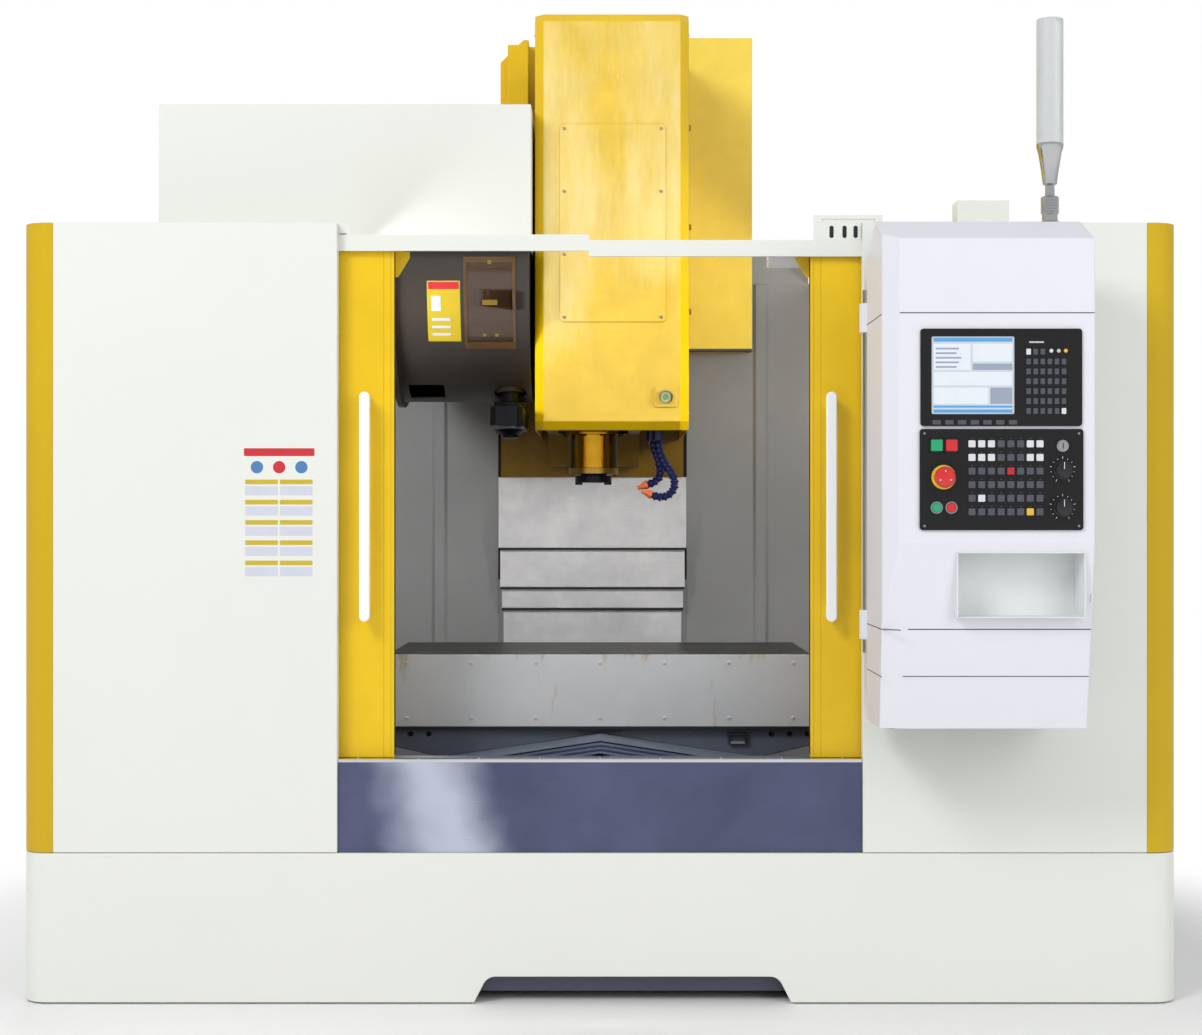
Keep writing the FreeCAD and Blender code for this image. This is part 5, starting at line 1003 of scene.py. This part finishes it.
class MACHINE_OT_lamps(bpy.types.Operator):
    """Signal lamp and work light"""
    bl_idname = "machine.lamps"
    bl_label = "Lamps"

    def execute(self, context):
        bm = bmesh.new()
        stem = [(0, 2393), (41, 2393), (42, 2395), (42, 2402), (38, 2406), (26, 2410), (24, 2414),
                (24, 2430), (27, 2434), (27, 2484), (24, 2487), (15, 2490), (14, 2520), (22, 2526),
                (26, 2560), (36, 2622), (41.5, 2640), (42, 2649), (0, 2649)]
        turned(bm, "z", LAMP_AXIS, stem, 48)
        for up in spread(2438, 2480, 6):
            turned(bm, "z", LAMP_AXIS, [(27, up), (28.4, up + 1), (28.4, up + 3), (27, up + 4)], 48)
        show(bm, "lamp_stem", ["turned steel"], "frame", ["lamp_post"])
        bm = bmesh.new()
        tube = [(0, 2650), (40, 2650), (41.6, 2652)]
        for up in range(2660, 3030, 5):
            tube += [(41.7, up), (41.1, up + 2.5)]
        tube += [(41.7, 3030), (40, 3037), (34, 3039), (0, 3039)]
        turned(bm, "z", LAMP_AXIS, tube, 48)
        show(bm, "lamp_tube", ["acrylic tube, milky"], "frame", ["signal_lamp"], angle=50)
        dress("work_light", "powder coat, pendant", 1.5)
        low, high = reach("work_light")
        bm = bmesh.new()
        block(bm, (low[0] + 4, high[0] - 4), (low[1] + 4, high[1] - 4), (low[2] + 3, low[2] + 8))
        show(bm, "work_light_lens", ["acrylic lens, lit"], "frame", edge=1.5)
        return {"FINISHED"}


class MACHINE_OT_pendant(bpy.types.Operator):
    """Pendant shell, screen, keys, buttons and knobs"""
    bl_idname = "machine.pendant"
    bl_label = "Pendant"

    def execute(self, context):
        controls = context.scene.machine_controls
        dress("pendant_shell", "powder coat, pendant", 3.0, angle=25)
        dress("pendant_post", "anodised aluminium", 1.5)
        self.seams()
        self.display(controls.key_edge * MM)
        self.operation(controls.key_edge * MM)
        self.buttons()
        return {"FINISHED"}

    def seams(self):
        """Dark joints between the sections of the shell, its latches and the lining of the niche."""
        slope_top, slope_fall, slope_back = 1418, 537, 100
        bm = bmesh.new()
        for x, z in (((850, 1402), (2069, 2072)), ((880, 1402), (1169, 1172)),
                     ((868, 1402), (1033, 1035.5))):
            depth = SHELL_FACE + max(0.0, slope_back * (slope_top - z[1]) / slope_fall)
            block(bm, x, (depth - 0.3, depth + 3), z)
            block(bm, (1403.7, 1404.3), (depth + 3, -1118), z)
            block(bm, (804.7, 805.3), (-1452, -1118), z)
            if z[0] > 1100:
                prism(bm, "z", [(804.8, -1451.7), (852.8, -1499.7), (853.6, -1497), (806, -1450)], *z)
        show(bm, "pendant_joints", ["gap shadow"], "pendant")
        bm = bmesh.new()
        for up in (1250, 1292):
            block(bm, (1398, 1404.2), (-1476, -1446), (up, up + 22))
        show(bm, "pendant_latches", ["powder coat, pendant"], "pendant", edge=1.5)
        bm = bmesh.new()
        for x, z in (((1013.5, 1375.5), (1388.6, 1391)), ((1013.5, 1375.5), (1205, 1207.4))):
            block(bm, x, (-1502, -1370), z)
        for x in ((1012.5, 1015.4), (1373.6, 1376.5)):
            block(bm, x, (-1502, -1370), (1205, 1391))
        block(bm, (1015, 1374), (-1371, -1369.5), (1207, 1389))
        show(bm, "niche_lining", ["powder coat, niche grey"], "pendant", edge=0.6)

    def outline(self, node):
        """Rounded outline of one of the two front panels."""
        low, high = reach(node)
        return rounded((low[0], high[0]), (low[2], high[2]), 9, 6)

    def display(self, edge):
        """Display unit: bezel, screen with plain fields, keys beside and below it."""
        front = PANEL_FACE
        screen_x, screen_z = (939, 1174), (1783, 2003)
        bm = bmesh.new()
        rim = self.outline("display_unit")
        hole = rounded(screen_x, screen_z, 4, 6)
        loft(bm, lines(bm, "y", ((rim, SHELL_FACE), (rim, front + 1), (hole, front), (hole, front + 4))))
        show(bm, "display_bezel", ["polyester film, black"], "pendant", ["display_unit"], edge=0.5)
        bm = bmesh.new()
        glass = front + 3.6
        block(bm, screen_x, (glass, front + 4.2), screen_z, 0)
        left, middle, right = (945, 1050), (1056, 1168), (1106, 1168)
        whole = (left[0], right[1])
        for x, z, slot in ((whole, (1988, 1999), 2), (left, (1908, 1982), 1), (middle, (1932, 1982), 1),
                           (middle, (1908, 1926), 3), (whole, (1864, 1902), 1),
                           ((left[0], 1100), (1812, 1858), 1), (right, (1812, 1858), 3),
                           (whole, (1801, 1807), 2), (whole, (1787, 1796), 2)):
            block(bm, x, (glass - 0.2, glass), z, slot)
        for row in range(5):
            up = 1914 + row * 13
            block(bm, (951, 1010 + 7 * (row % 3)), (glass - 0.3, glass), (up, up + 5), 3)
        show(bm, "screen", ["lit screen, pale", "lit screen, white", "lit screen, blue",
                            "lit screen, grey"], "pendant")
        bm = bmesh.new()
        for row in range(7):
            for column in range(6 if row < 6 else 3):
                x, z = 1207 + 20 * column, 1783 + 28 * row
                slot = 1 if (row, column) in ((6, 0), (0, 5)) else 0
                prism(bm, "y", rounded((x, x + 13), (z, z + 17), 2, 3), front - 2, front, slot)
        for column in range(7):
            x = 941 + 36 * column
            prism(bm, "y", rounded((x, x + 24), (1753, 1766), 2, 3), front - 2, front, 0)
        for slot, x in enumerate((1278, 1299, 1319), 1):
            turned(bm, "y", (x, 1962), raised(front, ((0, 0), (6, 0), (5, 2.2), (0, 2.6))), 20, slot)
        block(bm, (1215, 1257), (front - 0.6, front), (1984, 1989), 2)
        show(bm, "display_keys", ["silicone key, grey", "silicone key, white", "powder coat, cabinet grey",
                                  "silicone key, amber"], "pendant", edge=edge * 0.6)

    def operation(self, edge):
        """Operation panel: film, rings of the buttons, key switch, scales, and keys in four colours."""
        front = PANEL_FACE
        bm = bmesh.new()
        prism(bm, "y", self.outline("operation_panel"), front, SHELL_FACE, 0)
        screws(bm, "y", (919, 1356), (1466, 1728), front, -1, 4, 1)
        collar = raised(front, ((18, 0.2), (35, 0.2), (34, 4), (31, 5), (18, 5)))
        turned(bm, "y", STOP_SPOT, collar, 40, 2)
        for x in BUTTON_X:
            collar = raised(front, ((14.2, 0), (18, 0), (17, 4), (14.2, 4)))
            turned(bm, "y", (x, ROUND_Z), collar, 32, 1)
            x_side, z_side = (x - 20, x + 20), (SQUARE_Z - 20, SQUARE_Z + 20)
            for low in (x_side[0], x_side[1] - 3):
                block(bm, (low, low + 3), (front - 3, front), z_side, 3)
            for low in (z_side[0], z_side[1] - 3):
                block(bm, x_side, (front - 3, front), (low, low + 3), 3)
        self.switch(bm, front)
        for height in (FEED_Z, SPEED_Z):
            for step in range(13):
                self.tick(bm, height, math.radians(-150 + 25 * step), 35 if step % 3 else 38)
        show(bm, "operation_film", ["polyester film, black", "anodised aluminium",
                                    "polycarbonate, yellow", "phenolic knob, black",
                                    "silicone key, white"], "pendant", ["operation_panel"], edge=0.4)
        pale_columns = (0, 1, 2, 6, 7)
        bm = bmesh.new()
        for row in range(6):
            for column in range(8):
                x, z = 1043 + 27.5 * column, 1496 + 38.5 * row
                pale = (row > 3 and column in pale_columns) or (row, column) == (1, 1)
                slot = {(3, 4): 2, (0, 6): 3}.get((row, column), int(pale))
                prism(bm, "y", rounded((x, x + 20), (z, z + 20), 2.5, 3), front - 3, front, slot)
                block(bm, (x + 7, x + 13), (front - 3.2, front - 2.8), (z + 24, z + 26.5), 0)
        show(bm, "operation_keys", ["silicone key, grey", "silicone key, white", "silicone key, red",
                                    "silicone key, amber"], "pendant", edge=edge * 0.6)

    def tick(self, bm, height, angle, far):
        """One mark of a knob's scale, from the knob outwards."""
        out, aside = (math.sin(angle), math.cos(angle)), (math.cos(angle) * 0.7, -math.sin(angle) * 0.7)
        outline = [(KNOB_X + radius * out[0] + way * aside[0], height + radius * out[1] + way * aside[1])
                   for radius, way in ((31, -1), (31, 1), (far, 1), (far, -1))]
        prism(bm, "y", outline, PANEL_FACE - 0.3, PANEL_FACE, 4)

    def switch(self, bm, front):
        """Key switch: bright barrel with a slot."""
        x, z = KNOB_X, 1693
        barrel = raised(front, ((0, 0), (17, 0), (17, 3), (14, 4), (14, 8), (0, 8)))
        turned(bm, "y", (x, z), barrel, 36, 1)
        block(bm, (x - 1.5, x + 1.5), (front - 8.3, front - 7), (z - 8, z + 8), 3)

    def buttons(self):
        """Push buttons, mushroom stop and override knobs."""
        root = -11  # how far below the panel's face a stem ends
        inside = PANEL_FACE - root
        for name, x, colour in zip(("start", "stop"), BUTTON_X, ("green", "red")):
            bm = bmesh.new()
            cap = rounded((x - 16.5, x + 16.5), (SQUARE_Z - 16.5, SQUARE_Z + 16.5), 3, 4)
            prism(bm, "y", cap, PANEL_FACE - 9, inside)
            show(bm, name + "_button_cap", ["polycarbonate, " + colour], name, [name + "_button"], edge=2.2)
        cap = ((0, 8), (8, 8.6), (12, 8.2), (13.6, 6.5), (14, 4), (14, root), (0, root))
        for name, x, colour in zip(("power_on", "power_off"), BUTTON_X, ("green", "red")):
            bm = bmesh.new()
            turned(bm, "y", (x, ROUND_Z), raised(PANEL_FACE, cap), 40)
            show(bm, name + "_button_cap", ["polycarbonate, " + colour], name, [name + "_button"], angle=40)
        bm = bmesh.new()
        mushroom = ((0, 37.6), (12, 37.4), (22, 36), (28, 32.5), (30, 28), (29.6, 23), (26, 18), (11, 13),
                    (11, root), (0, root))
        turned(bm, "y", STOP_SPOT, raised(PANEL_FACE, mushroom), 48)
        dot = raised(PANEL_FACE, ((0, 38), (2.2, 37.8), (2.2, 35), (0, 35)))
        for spot in ring(STOP_SPOT, 17, 3, 90):
            turned(bm, "y", spot, dot, 12, 1)
        show(bm, "emergency_cap", ["polycarbonate, red", "silicone key, white"], "estop",
             ["emergency_stop"], angle=40)
        skirt = raised(PANEL_FACE, ((27, 0.3), (27, 6.3), (22.5, 7), (21.6, 23), (19, 24)))
        stem = raised(PANEL_FACE, ((0, 2), (7.9, 2), (7.9, root), (0, root)))
        for name, height in (("feed", FEED_Z), ("spindle", SPEED_Z)):
            bm = bmesh.new()
            rings = []
            for radius, along in skirt:
                grip = 0.8 if 20 < radius < 23 else 0.0
                radii = [radius + grip * (i % 2) for i in range(60)]
                rings.append(hoop(bm, "y", (KNOB_X, height), along, radii))
            loft(bm, rings)
            turned(bm, "y", (KNOB_X, height), stem, 24)
            block(bm, (KNOB_X - 1, KNOB_X + 1), (PANEL_FACE - 24.6, PANEL_FACE - 12),
                  (height + 2, height + 21.6), 1)
            show(bm, name + "_knob_grip", ["phenolic knob, black", "silicone key, white"],
                 name + "_override", [name + "_knob"], angle=50)


class MACHINE_OT_electrics(bpy.types.Operator):
    """Electrical cabinet with its door, cooler, drives and glands"""
    bl_idname = "machine.electrics"
    bl_label = "Electrics"

    def execute(self, context):
        dress("electrical_cabinet", "powder coat, cabinet grey", 0.0)
        dress("cabinet_door", "powder coat, cabinet grey", 2.5)
        face, deep = 1475.3, 1546
        bm = bmesh.new()
        for up in spread(640, 1350, 26):
            block(bm, (930, 1270), (deep - 3, deep - 0.2), (up, up + 12))
        for centre_z in (820, 1180):
            fan = raised(deep, ((118, 3), (126, 3), (126, 0), (118, 0)))
            turned(bm, "y", (1100, centre_z), fan, 48)
        show(bm, "cooler_grille", ["painted motor black"], "rear_door", edge=0.6)
        bm = bmesh.new()
        screws(bm, "y", (914, 1286), (606, 1394), deep - 4, 1, 4)
        block(bm, (684, 716), (face + 35, face + 46), (1200, 1232))
        block(bm, (690, 710), (face + 36, face + 52), (1120, 1226))
        show(bm, "door_latch", ["zinc plated steel"], "rear_door", edge=2)
        bm = bmesh.new()
        for row in range(3):
            for column in range(3):
                left, low = 720 + column * 300, 210 + row * 640
                for fin in spread(left + 12, left + 248, 18):
                    block(bm, (fin - 1, fin + 1), (1020, 1026), (low + 300, low + 468))
                block(bm, (left + 20, left + 240), (1020, 1023), (low + 180, low + 270), 1)
                for plug in spread(left + 30, left + 230, 8):
                    block(bm, (plug - 8, plug + 8), (1020, 1030), (low + 30, low + 60), 2)
        show(bm, "drive_fronts", ["anodised aluminium", "polyester film, black", "polycarbonate, green"],
             "frame")
        bm = bmesh.new()
        gland = [(0, 2300), (24, 2300), (24, 2312), (18, 2314), (18, 2330), (12, 2334), (0, 2334)]
        for x in spread(760, 1340, 7):
            turned(bm, "z", (x, 1200), gland, 12)
        show(bm, "cable_glands", ["phenolic knob, black"], "frame")
        return {"FINISHED"}


class MACHINE_OT_stage(bpy.types.Operator):
    """Floor, soft light and the camera at the photograph's height"""
    bl_idname = "machine.stage"
    bl_label = "Studio"

    def execute(self, context):
        studio = context.scene.machine_studio
        self.floor()
        self.sky(studio.sky)
        lamps = (
            ("key", (-4.2, -7.0, 6.4), (0.3, 0, 1.4), 2.6, studio.key),
            ("fill", (4.6, -7.0, 3.2), (0.6, 0, 1.4), 4.0, studio.key * 0.4),
            ("rear", (-1.5, 7.0, 6.0), (0, 0, 1.4), 4.5, studio.key * 0.7),
            ("left chamber", (-1.15, -0.6, 2.1), (0.1, 0.5, 1.2), 0.3, studio.key * 0.035),
            ("right chamber", (1.15, -0.6, 2.1), (-0.1, 0.5, 1.2), 0.3, studio.key * 0.035),
        )
        for name, spot, target, size, power in lamps:
            lamp = bpy.data.lights.new(name, "AREA")
            lamp.shape = "SQUARE"
            lamp.size = size
            lamp.energy = power
            holder = bpy.data.objects.new(name, lamp)
            aim = (Vector(target) - Vector(spot)).to_track_quat("-Z", "Y")
            holder.matrix_world = Matrix.Translation(spot) @ aim.to_matrix().to_4x4()
            holder.visible_camera = holder.visible_glossy = False
            context.scene.collection.objects.link(holder)
        camera = bpy.data.cameras.new("camera")
        camera.sensor_width = 36
        camera.lens = studio.lens
        viewer = bpy.data.objects.new("camera", camera)
        viewer.location = (0.003, -1.02 - studio.distance, studio.height)
        viewer.rotation_euler = (math.radians(90), 0, 0)
        context.scene.collection.objects.link(viewer)
        context.scene.camera = viewer
        context.scene.view_settings.view_transform = "Standard"
        return {"FINISHED"}

    def floor(self):
        """Pale floor that keeps the shadow near the machine and fades into the white round it."""
        tree, shader = blank("studio floor")
        shader.inputs["Base Color"].default_value = linear("#F2F2F1")
        shader.inputs["Roughness"].default_value = 0.6
        spot = add(tree, "TexCoord").outputs["Object"]
        narrow = add(tree, "Mapping", {"Vector": spot, "Scale": (0.42, 0.42, 0.0)})
        far = add(tree, "VectorMath", {0: narrow.outputs[0]}, operation="LENGTH")
        fade = add(tree, "MapRange", {"Value": far.outputs["Value"], "From Min": 0.85, "From Max": 1.25},
                   interpolation_type="SMOOTHSTEP")
        light = add(tree, "LightPath")
        seen = add(tree, "Math", {0: light.outputs["Is Camera Ray"], 1: light.outputs["Is Glossy Ray"]},
                   operation="MAXIMUM")
        clear = add(tree, "Math", {0: seen.outputs[0], 1: light.outputs["Is Transmission Ray"]},
                    operation="MAXIMUM")
        share = add(tree, "Math", {0: fade.outputs[0], 1: clear.outputs[0]}, operation="MULTIPLY")
        white = add(tree, "Emission", {"Color": (1, 1, 1, 1), "Strength": 1.0})
        mixed = add(tree, "MixShader", {0: share.outputs[0], 1: shader.outputs[0], 2: white.outputs[0]})
        output = next(node for node in tree.nodes if node.type == "OUTPUT_MATERIAL")
        tree.links.new(mixed.outputs[0], output.inputs["Surface"])
        mesh = bpy.data.meshes.new("floor")
        half = 40
        corners = [(x * half, y * half, 0) for x, y in ((-1, -1), (1, -1), (1, 1), (-1, 1))]
        mesh.from_pydata(corners, [], [(0, 1, 2, 3)])
        mesh.materials.append(bpy.data.materials["studio floor"])
        ground = bpy.data.objects.new("floor", mesh)
        bpy.context.scene.collection.objects.link(ground)

    def sky(self, level):
        """White surroundings for the eye and for reflections, and a softer even light."""
        world = bpy.data.worlds.new("studio")
        world.use_nodes = True
        tree = world.node_tree
        tree.nodes.clear()
        light = add(tree, "LightPath")
        seen = add(tree, "Math", {0: light.outputs["Is Camera Ray"], 1: light.outputs["Is Transmission Ray"]},
                   operation="MAXIMUM")
        white = add(tree, "Background", {"Color": (1, 1, 1, 1), "Strength": 1.0})
        even = add(tree, "Background", {"Color": (0.97, 0.98, 1, 1), "Strength": level})
        mixed = add(tree, "MixShader", {0: seen.outputs[0], 1: even.outputs[0], 2: white.outputs[0]})
        add(tree, "OutputWorld", {"Surface": mixed.outputs[0]})
        bpy.context.scene.world = world


class MACHINE_PT_sidebar(bpy.types.Panel):
    """Settings and piece groups of the machine"""
    bl_label = "Machining centre"
    bl_space_type = "VIEW_3D"
    bl_region_type = "UI"
    bl_category = "Machine"

    def draw(self, context):
        for name in ("machine_cabinet", "machine_controls", "machine_studio"):
            group = getattr(context.scene, name)
            for key in group.__annotations__:
                self.layout.prop(group, key)
        for operator in PIECES:
            self.layout.operator(operator.bl_idname)


GROUPS = {"machine_cabinet": CabinetSettings, "machine_controls": ControlSettings,
          "machine_studio": StudioSettings}
PIECES = (MACHINE_OT_finishes, MACHINE_OT_cabinet, MACHINE_OT_doors, MACHINE_OT_head, MACHINE_OT_slides,
          MACHINE_OT_magazine, MACHINE_OT_lamps, MACHINE_OT_pendant, MACHINE_OT_electrics, MACHINE_OT_stage)


def register():
    """Add the settings, the operators and the panel."""
    for kind in (*GROUPS.values(), *PIECES, MACHINE_PT_sidebar):
        bpy.utils.register_class(kind)
    for name, kind in GROUPS.items():
        setattr(bpy.types.Scene, name, bpy.props.PointerProperty(type=kind))


def unregister():
    """Take them away again."""
    for name in GROUPS:
        delattr(bpy.types.Scene, name)
    for kind in reversed((*GROUPS.values(), *PIECES, MACHINE_PT_sidebar)):
        bpy.utils.unregister_class(kind)


def main():
    """Register and build every piece in order."""
    register()
    for operator in PIECES:
        group, name = operator.bl_idname.split(".")
        getattr(getattr(bpy.ops, group), name)()


if __name__ == "__main__":
    main()
